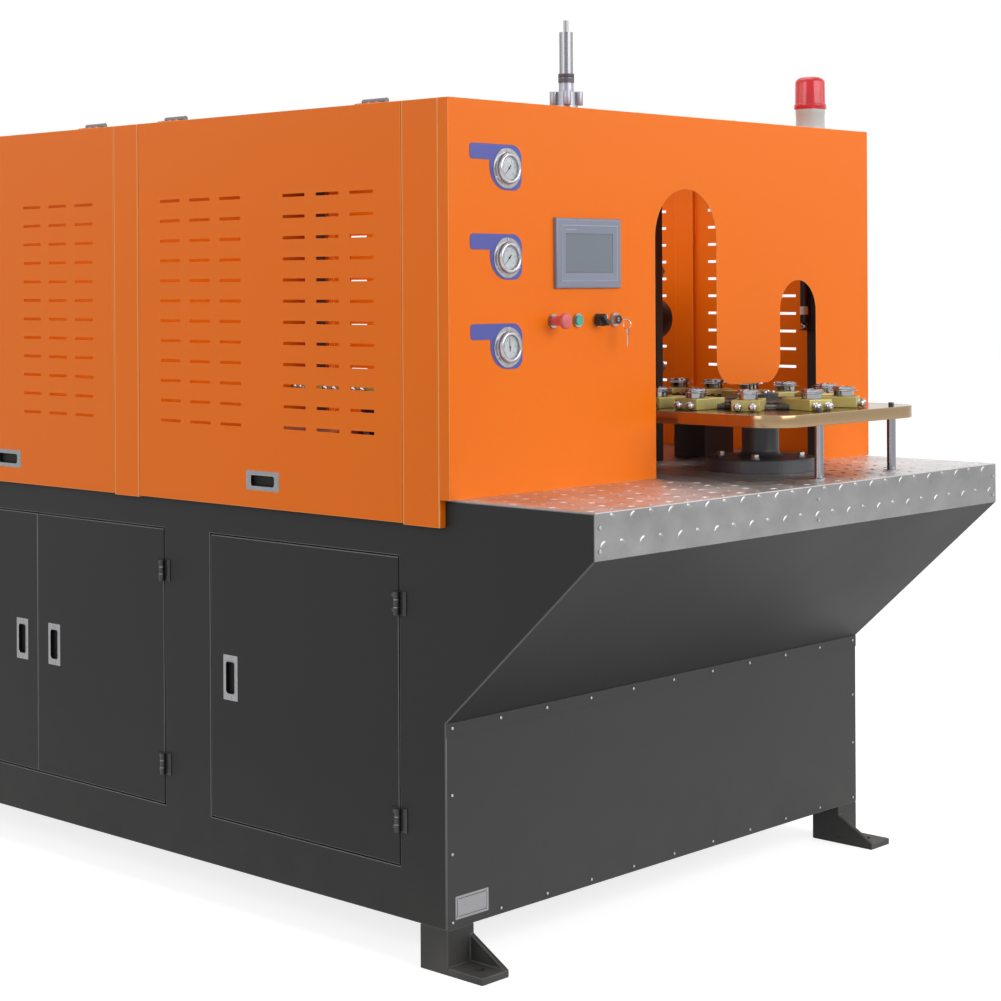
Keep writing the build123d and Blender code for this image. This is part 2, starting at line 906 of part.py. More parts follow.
# Pedestals: cast feet with a turned head under the plate and an axle for each wheel
with BuildPart() as pedestals:
    for wheel_y, foot_z in ((front_wheel_y, table_top), (rear_wheel_y, bed_top)):
        plate_bottom = plate_top - plate_thickness
        post(chain_x, wheel_y, pedestal_foot_radius, foot_z, foot_z + pedestal_foot_height)
        post(chain_x, wheel_y, pedestal_radius, foot_z, plate_bottom)
        post(
            chain_x,
            wheel_y,
            pedestal_head_radius,
            plate_bottom - pedestal_head_height,
            plate_bottom,
        )
        post(chain_x, wheel_y, spigot_radius, plate_bottom, plate_top)
        post(chain_x, wheel_y, axle_radius, plate_top, axle_top)
pedestals.part.label = "pedestals"
export_step(pedestals.part, "parts/pedestals.step")

# Places of the carriers: on each link's middle, with X pointing outwards from the chain. The chain
# stands between two stations, the phase past the first
front_start_angle = 180 + chain_phase
rear_start_angle = chain_phase


def wheel_places(wheel_y, start_angle):
    """Where a wheel's links lie, as sides of the polygon that the chain makes round half of it."""
    centre = Location((chain_x, wheel_y, carrier_bottom))
    return [
        centre * Location((0, 0, 0), (0, 0, start_angle + station * station_angle)) * Location((link_line, 0, 0))
        for station in range(wheel_stations // 2)
    ]


def strand_places(direction, first_y):
    """Where the links of one straight strand lie, a pitch apart."""
    turn = 0 if direction > 0 else 180
    return [
        Location((chain_x + direction * link_line, first_y + station * pitch, carrier_bottom), (0, 0, turn))
        for station in range(strand_stations)
    ]


def carrier_bodies(places):
    """Links with the blocks that hold the neck mandrels."""
    with Locations(*places):
        Box(link_width, pitch - link_gap, link_height, align=(Align.CENTER, Align.CENTER, Align.MIN))
        with Locations((block_length / 2 - link_width / 2, 0, 0)):
            Box(block_length, block_width, block_height, align=(Align.CENTER, Align.CENTER, Align.MIN))


def mandrels(places, flange_height, disc_height):
    """Turned neck mandrels standing on the blocks."""
    low = (Align.CENTER, Align.CENTER, Align.MIN)
    with Locations(*places):
        with Locations((mandrel_reach, 0, block_height)):
            Cylinder(mandrel_body_radius, mandrel_body_height, align=low)
        with Locations((mandrel_reach, 0, block_height + mandrel_body_height)):
            Cylinder(mandrel_flange_radius, flange_height, align=low)
        if disc_height:
            with Locations((mandrel_reach, 0, block_height + mandrel_body_height + flange_height)):
                Cylinder(mandrel_disc_radius, disc_height, align=low)


def wheel(wheel_y):
    """A flat wheel that turns on its pedestal's axle inside the chain."""
    post(chain_x, wheel_y, wheel_radius, carrier_bottom, carrier_bottom + wheel_height)
    post(chain_x, wheel_y, wheel_hub_radius, carrier_bottom, carrier_bottom + wheel_hub_height)
    post(
        chain_x,
        wheel_y,
        axle_radius + running_fit,
        carrier_bottom,
        carrier_bottom + wheel_hub_height,
        mode=Mode.SUBTRACT,
    )


with BuildPart() as front_wheel:
    wheel(front_wheel_y)
front_wheel.part.label = "front_wheel"
export_step(front_wheel.part, "parts/front_wheel.step")

with BuildPart() as front_carriers:
    carrier_bodies(wheel_places(front_wheel_y, front_start_angle))
front_carriers.part.label = "front_carriers"
export_step(front_carriers.part, "parts/front_carriers.step")

with BuildPart() as front_mandrels:
    mandrels(wheel_places(front_wheel_y, front_start_angle), mandrel_flange_height, mandrel_disc_height)
front_mandrels.part.label = "front_mandrels"
export_step(front_mandrels.part, "parts/front_mandrels.step")

plain_flange_height = mandrel_flange_height + mandrel_disc_height
with BuildPart() as right_carriers:
    carrier_bodies(strand_places(1, front_wheel_y + chain_run))
    mandrels(strand_places(1, front_wheel_y + chain_run), plain_flange_height, 0)
right_carriers.part.label = "right_carriers"
export_step(right_carriers.part, "parts/right_carriers.step")

with BuildPart() as left_carriers:
    carrier_bodies(strand_places(-1, front_wheel_y + pitch - chain_run))
    mandrels(strand_places(-1, front_wheel_y + pitch - chain_run), plain_flange_height, 0)
left_carriers.part.label = "left_carriers"
export_step(left_carriers.part, "parts/left_carriers.step")

with BuildPart() as rear_wheel:
    wheel(rear_wheel_y)
    carrier_bodies(wheel_places(rear_wheel_y, rear_start_angle))
    mandrels(wheel_places(rear_wheel_y, rear_start_angle), plain_flange_height, 0)
rear_wheel.part.label = "rear_wheel"
export_step(rear_wheel.part, "parts/rear_wheel.step")

# Blow station frame: two end plates on the bed and a bridge over them
clamp_start = clamp_y - clamp_plate_width / 2
clamp_end = clamp_y + clamp_plate_width / 2
tie_bar_places = [
    (clamp_y + side * tie_bar_offset, bar_z) for side in (-1, 1) for bar_z in (tie_bar_low, tie_bar_high)
]
clamp_rod_z = (mould_bottom + mould_top) / 2
with BuildPart() as clamp_plates:
    for inner_x, outward in ((strand_x - clamp_half_span, -1), (strand_x + clamp_half_span, 1)):
        plate_ends = sorted((inner_x, inner_x + outward * clamp_plate))
        block(plate_ends, (clamp_start, clamp_end), (bed_top, clamp_plate_top))
        cross_bar(
            clamp_y,
            clamp_rod_z,
            clamp_rod_radius + running_fit,
            plate_ends[0],
            plate_ends[1],
            mode=Mode.SUBTRACT,
        )
    block(
        (strand_x - clamp_half_span - clamp_plate, strand_x + clamp_half_span + clamp_plate),
        (clamp_start, clamp_end),
        (clamp_plate_top, clamp_plate_top + bridge_thickness),
    )
    post(
        strand_x,
        clamp_y,
        base_rod_radius + running_fit,
        clamp_plate_top,
        clamp_plate_top + bridge_thickness,
        mode=Mode.SUBTRACT,
    )
clamp_plates.part.label = "clamp_plates"
export_step(clamp_plates.part, "parts/clamp_plates.step")

# Four tie bars between the end plates, which the mould halves slide on
with BuildPart() as tie_bars:
    for bar_y, bar_z in tie_bar_places:
        cross_bar(bar_y, bar_z, tie_bar_radius, strand_x - clamp_half_span, strand_x + clamp_half_span)
tie_bars.part.label = "tie_bars"
export_step(tie_bars.part, "parts/tie_bars.step")

# Clamp cylinders, one on each end plate
with BuildPart() as clamp_cylinders:
    for outward in (-1, 1):
        mouth_x = strand_x + outward * (clamp_half_span + clamp_plate)
        back_x = mouth_x + outward * clamp_cylinder_length
        bore_end = back_x - outward * clamp_cylinder_wall
        cross_bar(clamp_y, clamp_rod_z, clamp_cylinder_radius, mouth_x, back_x)
        cross_bar(
            clamp_y,
            clamp_rod_z,
            clamp_rod_radius + running_fit,
            mouth_x,
            bore_end,
            mode=Mode.SUBTRACT,
        )
clamp_cylinders.part.label = "clamp_cylinders"
export_step(clamp_cylinders.part, "parts/clamp_cylinders.step")


def mould_half(name, outward):
    """One mould half on its tie bars, with half of the bottle's cavity and its clamp rod."""
    face_x = strand_x + outward * (mould_stroke + seat_gap / 2)
    back_x = face_x + outward * mould_thickness
    rod_end = strand_x + outward * (clamp_half_span + clamp_plate + clamp_cylinder_length - 2 * clamp_cylinder_wall)
    with BuildPart() as mould:
        block(
            sorted((face_x, back_x)),
            (clamp_y - mould_width / 2, clamp_y + mould_width / 2),
            (mould_bottom, mould_top),
        )
        for bar_y, bar_z in tie_bar_places:
            cross_bar(bar_y, bar_z, tie_bar_radius + running_fit, face_x, back_x, mode=Mode.SUBTRACT)
        with BuildSketch(Plane.XZ.offset(-clamp_y)):
            with BuildLine():
                Polyline(
                    (face_x, mould_bottom),
                    (face_x + bottle_neck_radius, mould_bottom),
                    (face_x + bottle_neck_radius, mould_bottom + bottle_neck_radius),
                    (face_x + bottle_radius, mould_bottom + 2 * bottle_radius),
                    (face_x + bottle_radius, mould_top),
                    (face_x, mould_top),
                    close=True,
                )
            make_face()
        revolve(axis=Axis((face_x, clamp_y, 0), (0, 0, 1)), revolution_arc=360, mode=Mode.SUBTRACT)
        cross_bar(clamp_y, clamp_rod_z, clamp_rod_radius, back_x, rod_end)
    mould.part.label = name
    export_step(mould.part, f"parts/{name}.step")


mould_half("left_mould", -1)
mould_half("right_mould", 1)

# Base mould cylinder: a barrel on the bridge whose lobed cap stands above the roof
with BuildPart() as base_cylinder:
    post(strand_x, clamp_y, barrel_radius, clamp_plate_top + bridge_thickness, cap_bottom)
    with BuildSketch(Plane.XY.offset(cap_bottom)):
        with Locations((strand_x, clamp_y)):
            Circle(cap_radius)
            with GridLocations(2 * cap_lobe_offset, 2 * cap_lobe_offset, 2, 2):
                Circle(cap_lobe_radius)
    extrude(amount=cap_top - cap_bottom)
    post(
        strand_x,
        clamp_y,
        base_rod_radius + running_fit,
        clamp_plate_top + bridge_thickness,
        cap_top,
        mode=Mode.SUBTRACT,
    )
base_cylinder.part.label = "base_cylinder"
export_step(base_cylinder.part, "parts/base_cylinder.step")

# Base mould with its rod, stop collar and tip
base_mould_bottom = mould_top + seat_gap
with BuildPart() as base_rod:
    post(strand_x, clamp_y, base_mould_radius, base_mould_bottom, base_mould_bottom + base_mould_height)
    post(strand_x, clamp_y, base_rod_radius, base_mould_bottom, base_rod_top)
    post(strand_x, clamp_y, collar_radius, collar_bottom, collar_bottom + collar_height)
    post(strand_x, clamp_y, tip_radius, base_rod_top, tip_top)
base_rod.part.label = "base_rod"
export_step(base_rod.part, "parts/base_rod.step")

# Heating tunnel: two reflector channels on feet, one each side of the right strand
oven_end = oven_start + oven_length
with BuildPart() as oven_panels:
    for web_x, inward in ((oven_inner_x, 1), (oven_outer_x, -1)):
        web_ends = sorted((web_x, web_x - inward * oven_sheet))
        fold_ends = sorted((web_x, web_x + inward * oven_fold))
        foot_ends = sorted((web_x, web_x - inward * oven_foot))
        block(web_ends, (oven_start, oven_end), (oven_bottom, oven_top))
        for fold_y in (oven_start, oven_end - oven_sheet):
            block(fold_ends, (fold_y, fold_y + oven_sheet), (oven_bottom, oven_top))
        for leg_y in (oven_start, oven_end - oven_foot):
            block(web_ends, (leg_y, leg_y + oven_foot), (bed_top, oven_bottom))
            block(foot_ends, (leg_y, leg_y + oven_foot), (bed_top, bed_top + oven_sheet))
oven_panels.part.label = "oven_panels"
export_step(oven_panels.part, "parts/oven_panels.step")

# Quartz lamps, held between the end folds of the outer reflector
with BuildPart() as oven_lamps:
    lamp_x = oven_outer_x - oven_fold / 2
    lamp_start = oven_start + oven_sheet
    for row in range(lamp_rows):
        lamp_z = oven_bottom + lamp_pitch * (row + 1) - lamp_pitch / 2
        front_disc(lamp_x, lamp_z, lamp_radius, lamp_start, oven_end - oven_sheet)
oven_lamps.part.label = "oven_lamps"
export_step(oven_lamps.part, "parts/oven_lamps.step")

# Pressure gauges: flanged cases with a dial face, and their lenses
gauge_heights = [gauge_top_z - gauge * gauge_pitch for gauge in range(gauge_count)]
with BuildPart() as gauge_cases:
    for gauge_z in gauge_heights:
        front_disc(gauge_x, gauge_z, gauge_flange_radius, front - gauge_flange, front)
        front_disc(gauge_x, gauge_z, gauge_bezel_radius, front - gauge_bezel_depth, front)
        front_disc(gauge_x, gauge_z, gauge_body_radius, front, front + gauge_body_depth)
        front_disc(
            gauge_x,
            gauge_z,
            gauge_lens_radius + running_fit,
            front - gauge_bezel_depth,
            front - gauge_dial_depth,
            mode=Mode.SUBTRACT,
        )
gauge_cases.part.label = "gauge_cases"
export_step(gauge_cases.part, "parts/gauge_cases.step")

lens_thickness = 2
lens_front = front - gauge_bezel_depth + lens_thickness
with BuildPart() as gauge_lenses:
    for gauge_z in gauge_heights:
        front_disc(gauge_x, gauge_z, gauge_lens_radius, lens_front, lens_front + lens_thickness)
gauge_lenses.part.label = "gauge_lenses"
export_step(gauge_lenses.part, "parts/gauge_lenses.step")

# Operator panel: a case let into the front panel, and its glass
screen_corner_radius = 5
with BuildPart() as screen_case:
    with BuildSketch(Plane.XZ.offset(screen_case_depth - front)):
        with Locations((screen_x, screen_z)):
            RectangleRounded(screen_case_width, screen_case_height, screen_corner_radius)
    extrude(amount=-screen_case_depth)
    with BuildSketch(Plane.XZ.offset(-front)):
        with Locations((screen_x, screen_z)):
            Rectangle(
                screen_case_width - 2 * screen_back_margin,
                screen_case_height - 2 * screen_back_margin,
            )
    extrude(amount=-screen_back_depth)
    with BuildSketch(Plane.XZ.offset(screen_case_depth - front)):
        with Locations((screen_x, screen_z)):
            Rectangle(
                screen_glass_width + 2 * running_fit,
                screen_glass_height + 2 * running_fit,
            )
    extrude(amount=-2 * screen_glass_recess, mode=Mode.SUBTRACT)
screen_case.part.label = "screen_case"
export_step(screen_case.part, "parts/screen_case.step")

glass_front = front - screen_case_depth + screen_glass_recess
with BuildPart() as screen_glass:
    block(
        (screen_x - screen_glass_width / 2, screen_x + screen_glass_width / 2),
        (glass_front, glass_front + screen_glass_recess),
        (screen_z - screen_glass_height / 2, screen_z + screen_glass_height / 2),
    )
screen_glass.part.label = "screen_glass"
export_step(screen_glass.part, "parts/screen_glass.step")

# Collars round the four controls
with BuildPart() as control_collars:
    for control_x in (stop_x, start_x, selector_x, key_x):
        front_disc(control_x, control_z, collar_ring_radius, front - collar_ring_depth, front)
        front_disc(
            control_x,
            control_z,
            stem_radius + running_fit,
            front - collar_ring_depth,
            front,
            mode=Mode.SUBTRACT,
        )
control_collars.part.label = "control_collars"
export_step(control_collars.part, "parts/control_collars.step")

# Emergency stop with its mushroom head
stop_head_radius = 20
stop_head_start = 45
stop_head_end = 22
with BuildPart() as stop_button:
    front_disc(stop_x, control_z, stem_radius, front - stop_head_end, front + stem_depth)
    front_disc(stop_x, control_z, stop_head_radius, front - stop_head_start, front - stop_head_end)
stop_button.part.label = "stop_button"
export_step(stop_button.part, "parts/stop_button.step")

# Start button
start_button_proud = 9
with BuildPart() as start_button:
    front_disc(start_x, control_z, stem_radius, front - start_button_proud, front + stem_depth)
start_button.part.label = "start_button"
export_step(start_button.part, "parts/start_button.step")

# Selector knob with its finger bar
knob_radius = 14
knob_start = 20
knob_end = 6
knob_bar = (27, 8, 10)
with BuildPart() as selector_knob:
    front_disc(selector_x, control_z, stem_radius, front - knob_end, front + stem_depth)
    front_disc(selector_x, control_z, knob_radius, front - knob_start, front - knob_end)
    with Locations(Location((selector_x, front - knob_start - knob_bar[2] / 2, control_z), (0, 45, 0))):
        Box(knob_bar[0], knob_bar[2], knob_bar[1])
selector_knob.part.label = "selector_knob"
export_step(selector_knob.part, "parts/selector_knob.step")

# Key switch barrel with the key in it
barrel_proud = 14
key_blade = (7, 2)
key_blade_length = 10
key_bow_radius = 12
with BuildPart() as key_switch:
    front_disc(key_x, control_z, stem_radius, front - barrel_proud, front + stem_depth)
    block(
        (key_x - key_blade[0] / 2, key_x + key_blade[0] / 2),
        (front - barrel_proud - key_blade_length, front - barrel_proud),
        (control_z - key_blade[1] / 2, control_z + key_blade[1] / 2),
    )
    bow_y = front - barrel_proud - key_blade_length - key_bow_radius / 2
    post(key_x, bow_y, key_bow_radius, control_z - key_blade[1] / 2, control_z + key_blade[1] / 2)
key_switch.part.label = "key_switch"
export_step(key_switch.part, "parts/key_switch.step")

# Beacon: a drum base on the roof, a hollow dome, and the reflector that turns inside
dome_bottom = cover_top + beacon_base_height
with BuildPart() as beacon_base:
    post(beacon_x, beacon_y, beacon_base_radius, cover_top, dome_bottom)
    post(beacon_x, beacon_y, rotor_pin_radius, dome_bottom, dome_bottom + rotor_radius)
beacon_base.part.label = "beacon_base"
export_step(beacon_base.part, "parts/beacon_base.step")

with BuildPart() as beacon_dome:
    with BuildSketch(Plane.XZ.offset(-beacon_y)):
        with BuildLine():
            Polyline(
                (beacon_x + dome_radius - dome_wall, dome_bottom),
                (beacon_x + dome_radius, dome_bottom),
                (beacon_x + dome_radius, dome_bottom + dome_height - dome_chamfer),
                (beacon_x + dome_radius - dome_chamfer, dome_bottom + dome_height),
                (beacon_x, dome_bottom + dome_height),
                (beacon_x, dome_bottom + dome_height - dome_wall),
                (beacon_x + dome_radius - dome_chamfer - dome_wall, dome_bottom + dome_height - dome_wall),
                (beacon_x + dome_radius - dome_wall, dome_bottom + dome_height - dome_chamfer - dome_wall),
                close=True,
            )
        make_face()
    revolve(axis=Axis((beacon_x, beacon_y, 0), (0, 0, 1)), revolution_arc=360)
beacon_dome.part.label = "beacon_dome"
export_step(beacon_dome.part, "parts/beacon_dome.step")

rotor_wall = 2
rotor_height = 50
rotor_bottom = dome_bottom + seat_gap
with BuildPart() as beacon_rotor:
    post(beacon_x, beacon_y, rotor_radius, rotor_bottom, rotor_bottom + rotor_height)
    post(
        beacon_x,
        beacon_y,
        rotor_radius - rotor_wall,
        rotor_bottom + rotor_wall,
        rotor_bottom + rotor_height,
        mode=Mode.SUBTRACT,
    )
    block(
        (beacon_x - rotor_radius, beacon_x),
        (beacon_y - rotor_radius, beacon_y + rotor_radius),
        (rotor_bottom + rotor_wall, rotor_bottom + rotor_height),
        mode=Mode.SUBTRACT,
    )
    post(
        beacon_x,
        beacon_y,
        rotor_pin_radius + running_fit,
        rotor_bottom,
        rotor_bottom + rotor_wall,
        mode=Mode.SUBTRACT,
    )
beacon_rotor.part.label = "beacon_rotor"
export_step(beacon_rotor.part, "parts/beacon_rotor.step")
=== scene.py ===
from math import cos, pi, radians, sin, tan

import bmesh
import bpy
from mathutils import Matrix, Vector


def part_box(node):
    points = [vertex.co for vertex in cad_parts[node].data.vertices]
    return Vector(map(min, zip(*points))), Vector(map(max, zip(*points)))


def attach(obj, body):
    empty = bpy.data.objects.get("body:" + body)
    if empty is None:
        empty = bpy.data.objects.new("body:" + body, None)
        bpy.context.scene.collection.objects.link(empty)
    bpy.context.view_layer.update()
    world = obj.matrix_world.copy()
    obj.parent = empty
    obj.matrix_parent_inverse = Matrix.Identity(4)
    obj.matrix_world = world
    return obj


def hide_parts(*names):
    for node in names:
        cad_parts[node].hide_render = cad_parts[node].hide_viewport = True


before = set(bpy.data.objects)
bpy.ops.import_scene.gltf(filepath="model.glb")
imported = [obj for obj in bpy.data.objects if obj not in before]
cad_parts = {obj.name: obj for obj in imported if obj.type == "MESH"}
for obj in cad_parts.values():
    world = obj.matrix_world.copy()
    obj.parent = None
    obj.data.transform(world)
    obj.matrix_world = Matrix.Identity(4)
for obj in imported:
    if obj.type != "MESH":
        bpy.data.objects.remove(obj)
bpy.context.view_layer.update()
scene = bpy.context.scene
scene.view_settings.view_transform = "Standard"

# Camera: the photograph's place, level, from the machine's front left at about head height.
# The long lens is shifted down, so that the upright edges stay upright.
camera_data = bpy.data.cameras.new("camera")
camera_data.sensor_width = 36
camera_data.lens = 77.167
camera_data.shift_y = -0.217
camera = bpy.data.objects.new("camera", camera_data)
camera.matrix_world = (
    Matrix.Translation((-3.8844, -4.01064, 1.42652))
    @ Matrix.Rotation(radians(-46.74), 4, "Z")
    @ Matrix.Rotation(radians(90), 4, "X")
    @ Matrix.Rotation(radians(-0.3), 4, "Z")
)
scene.collection.objects.link(camera)
scene.camera = camera

# Floor and studio light: a pale sheet that runs out of sight, white to the eye and in
# reflections, soft boxes before the machine, at its left and above, and two weak cards at the
# sides that give the covers a sheen. A lamp under the roof lights the inside of the covers.
floor_mesh = bpy.data.meshes.new("floor")
floor_bm = bmesh.new()
bmesh.ops.create_grid(floor_bm, x_segments=1, y_segments=1, size=30)
floor_bm.to_mesh(floor_mesh)
floor_bm.free()
floor = bpy.data.objects.new("floor", floor_mesh)
scene.collection.objects.link(floor)


def seen_directly(nodes, links):
    """A mask that is 1 for rays from the camera, off a gloss or through glass."""
    path = nodes.new("ShaderNodeLightPath")
    masks = []
    for first, second in (("Is Camera Ray", "Is Glossy Ray"), (None, "Is Transmission Ray")):
        larger = nodes.new("ShaderNodeMath")
        larger.operation = "MAXIMUM"
        links.new(path.outputs[first] if first else masks[-1].outputs[0], larger.inputs[0])
        links.new(path.outputs[second], larger.inputs[1])
        masks.append(larger)
    return masks[-1].outputs[0]


floor_paper = bpy.data.materials.new("floor_paper")
floor_paper.use_nodes = True
paper_nodes = floor_paper.node_tree.nodes
paper_links = floor_paper.node_tree.links
paper_shader = paper_nodes["Principled BSDF"]
paper_shader.inputs["Base Color"].default_value = (0.5, 0.5, 0.5, 1)
paper_shader.inputs["Roughness"].default_value = 0.75
paper_shader.inputs["Emission Color"].default_value = (1, 1, 1, 1)
paper_glow = paper_nodes.new("ShaderNodeMath")
paper_glow.operation = "MULTIPLY"
paper_glow.inputs[1].default_value = 0.8
paper_links.new(seen_directly(paper_nodes, paper_links), paper_glow.inputs[0])
paper_links.new(paper_glow.outputs[0], paper_shader.inputs["Emission Strength"])
floor_mesh.materials.append(floor_paper)

world = bpy.data.worlds.new("studio")
scene.world = world
world.use_nodes = True
sky_nodes = world.node_tree.nodes
sky_links = world.node_tree.links
sky = sky_nodes["Background"]
sky.inputs["Color"].default_value = (1, 1, 1, 1)
sky_level = sky_nodes.new("ShaderNodeMapRange")
sky_level.inputs["To Min"].default_value = 0.3
sky_level.inputs["To Max"].default_value = 1.0
sky_links.new(seen_directly(sky_nodes, sky_links), sky_level.inputs["Value"])
sky_links.new(sky_level.outputs["Result"], sky.inputs["Strength"])

light_target = Vector((0, -0.2, 1.0))
for light_name, light_place, light_width, light_height, light_power in (
    ("front_softbox", (0.6, -5.6, 3.4), 4.5, 3.0, 166),
    ("left_softbox", (-5.4, 0.2, 3.2), 3.5, 2.5, 79),
    ("front_card", (4.4, -4.6, 3.3), 3.4, 1.9, 34),
    ("left_card", (-4.6, 4.4, 3.3), 3.4, 1.9, 26),
    ("top_softbox", (0.3, 0.4, 5.4), 4.0, 4.0, 90),
    ("enclosure_lamp", (0.1, 0.15, 1.78), 1.1, 1.7, 11),
):
    light_data = bpy.data.lights.new(light_name, "AREA")
    light_data.shape = "RECTANGLE"
    light_data.size = light_width
    light_data.size_y = light_height
    light_data.energy = light_power
    light = bpy.data.objects.new(light_name, light_data)
    light.location = light_place
    if light_name != "enclosure_lamp":
        aim = light_target - Vector(light_place)
        light.rotation_euler = aim.to_track_quat("-Z", "Y").to_euler()
    light.visible_camera = False
    scene.collection.objects.link(light)

# Base cabinet: welded tube under 3 mm side, front and sloping sheets, all powder-coated dark
# grey with a fine leathery texture. The folds and cut edges are slightly rounded by the coat,
# and the rounding is painted a lighter grey as a painted highlight.


def add_group(name, inputs, outputs):
    """An empty shader group with named sockets, and its two end nodes."""
    group = bpy.data.node_groups.new(name, "ShaderNodeTree")
    sockets = group.interface
    for socket_name, kind, value in inputs:
        socket = sockets.new_socket(socket_name, in_out="INPUT", socket_type=f"NodeSocket{kind}")
        socket.default_value = value
    for socket_name, kind in outputs:
        sockets.new_socket(socket_name, in_out="OUTPUT", socket_type=f"NodeSocket{kind}")
    return group, group.nodes.new("NodeGroupInput"), group.nodes.new("NodeGroupOutput")


def add_node(tree, kind, **values):
    """A node with the given settings; an input is named by its words with _ for each space."""
    node = tree.nodes.new(kind)
    for key, value in values.items():
        if hasattr(node, key):
            setattr(node, key, value)
        else:
            node.inputs[key.replace("_", " ")].default_value = value
    return node


def spread_about(tree, noise, group_in, middle, amount):
    """Adds a share of how far a noise lies from its own middle to a plain value. The value and
    the share are named inputs of the group."""
    centred = add_node(tree, "ShaderNodeMath", operation="SUBTRACT")
    centred.inputs[1].default_value = 0.5
    tree.links.new(noise.outputs[0], centred.inputs[0])
    scaled = add_node(tree, "ShaderNodeMath", operation="MULTIPLY_ADD", use_clamp=False)
    tree.links.new(centred.outputs[0], scaled.inputs[0])
    tree.links.new(group_in.outputs[amount], scaled.inputs[1])
    tree.links.new(group_in.outputs[middle], scaled.inputs[2])
    return scaled.outputs[0]


coat_group, coat_in, coat_out = add_group(
    "sprayed_coat",
    (
        ("Color", "Color", (0.5, 0.5, 0.5, 1)),
        ("Clouds", "Float", 0.1),
        ("Grain Size", "Float", 0.001),
        ("Roughness", "Float", 0.4),
        ("Roughness Spread", "Float", 0.15),
        ("Dust", "Float", 0.0),
        ("Dust Top", "Float", 0.5),
        ("Tone Middle", "Float", 1.0),
    ),
    (("Color", "Color"), ("Roughness", "Float"), ("Height", "Float")),
)
coat_place = add_node(coat_group, "ShaderNodeTexCoord")
coat_clouds = add_node(coat_group, "ShaderNodeTexNoise", Scale=2.3, Detail=3.0)
coat_rate = add_node(coat_group, "ShaderNodeMath", operation="DIVIDE")
coat_rate.inputs[0].default_value = 1.0
coat_grain = add_node(coat_group, "ShaderNodeTexNoise", Detail=2.0)
coat_tone = add_node(coat_group, "ShaderNodeHueSaturation")
coat_height = add_node(coat_group, "ShaderNodeSeparateXYZ")
coat_dust_height = add_node(coat_group, "ShaderNodeMapRange", To_Min=1.0, To_Max=0.0)
coat_dust_noise = add_node(coat_group, "ShaderNodeTexNoise", Scale=11.0, Detail=6.0)
coat_dust_share = add_node(coat_group, "ShaderNodeMath", operation="MULTIPLY")
coat_dust_amount = add_node(coat_group, "ShaderNodeMath", operation="MULTIPLY", use_clamp=True)
coat_dusty = add_node(coat_group, "ShaderNodeMix", data_type="RGBA")
coat_dusty.inputs[7].default_value = (0.32, 0.3, 0.27, 1)
coat_links = coat_group.links
for coat_noise in (coat_clouds, coat_grain, coat_dust_noise):
    coat_links.new(coat_place.outputs["Object"], coat_noise.inputs["Vector"])
coat_links.new(coat_in.outputs["Grain Size"], coat_rate.inputs[1])
coat_links.new(coat_rate.outputs[0], coat_grain.inputs["Scale"])
coat_links.new(coat_in.outputs["Color"], coat_tone.inputs["Color"])
coat_links.new(
    spread_about(coat_group, coat_clouds, coat_in, "Tone Middle", "Clouds"),
    coat_tone.inputs["Value"],
)
coat_links.new(coat_place.outputs["Object"], coat_height.inputs[0])
coat_links.new(coat_height.outputs["Z"], coat_dust_height.inputs["Value"])
coat_links.new(coat_in.outputs["Dust Top"], coat_dust_height.inputs["From Max"])
coat_links.new(coat_dust_height.outputs[0], coat_dust_share.inputs[0])
coat_links.new(coat_dust_noise.outputs[0], coat_dust_share.inputs[1])
coat_links.new(coat_dust_share.outputs[0], coat_dust_amount.inputs[0])
coat_links.new(coat_in.outputs["Dust"], coat_dust_amount.inputs[1])
coat_links.new(coat_dust_amount.outputs[0], coat_dusty.inputs[0])
coat_links.new(coat_tone.outputs[0], coat_dusty.inputs[6])
coat_links.new(coat_dusty.outputs[2], coat_out.inputs["Color"])
coat_links.new(
    spread_about(coat_group, coat_clouds, coat_in, "Roughness", "Roughness Spread"),
    coat_out.inputs["Roughness"],
)
coat_links.new(coat_grain.outputs[0], coat_out.inputs["Height"])


def skinned(name, group, color, strength, relief, **values):
    """A material whose colour, gloss and fine relief come from a group; its shader as well."""
    material = bpy.data.materials.new(name)
    material.use_nodes = True
    tree = material.node_tree
    shader = tree.nodes["Principled BSDF"]
    skin = add_node(tree, "ShaderNodeGroup", node_tree=group, **values)
    skin.inputs["Color"].default_value = (*color, 1)
    bump = add_node(tree, "ShaderNodeBump", Strength=strength, Distance=relief)
    tree.links.new(skin.outputs["Color"], shader.inputs["Base Color"])
    tree.links.new(skin.outputs["Roughness"], shader.inputs["Roughness"])
    tree.links.new(skin.outputs["Height"], bump.inputs["Height"])
    tree.links.new(bump.outputs[0], shader.inputs["Normal"])
    return material, shader


def coated(
    name,
    color,
    clouds,
    grain,
    relief,
    roughness,
    spread,
    dust=0.0,
    dust_top=0.5,
    specular=0.5,
    transmission=0.0,
):
    """Paint or moulded plastic: cloudy tone, a fine texture and dust that thickens downwards."""
    material, shader = skinned(
        name,
        coat_group,
        color,
        strength=0.6,
        relief=relief,
        Clouds=clouds,
        Grain_Size=grain,
        Roughness=roughness,
        Roughness_Spread=spread,
        Dust=dust,
        Dust_Top=dust_top,
    )
    shader.inputs["Specular IOR Level"].default_value = specular
    shader.inputs["Transmission Weight"].default_value = transmission
    return material


def dress(material, *nodes):
    """Gives CAD pieces that keep their own shape their finish."""
    for name in nodes:
        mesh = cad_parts[name].data
        mesh.materials.clear()
        mesh.materials.append(material)


def as_mesh(bm, name):
    """The mesh of a finished bmesh."""
    mesh = bpy.data.meshes.new(name)
    bm.to_mesh(mesh)
    bm.free()
    return mesh


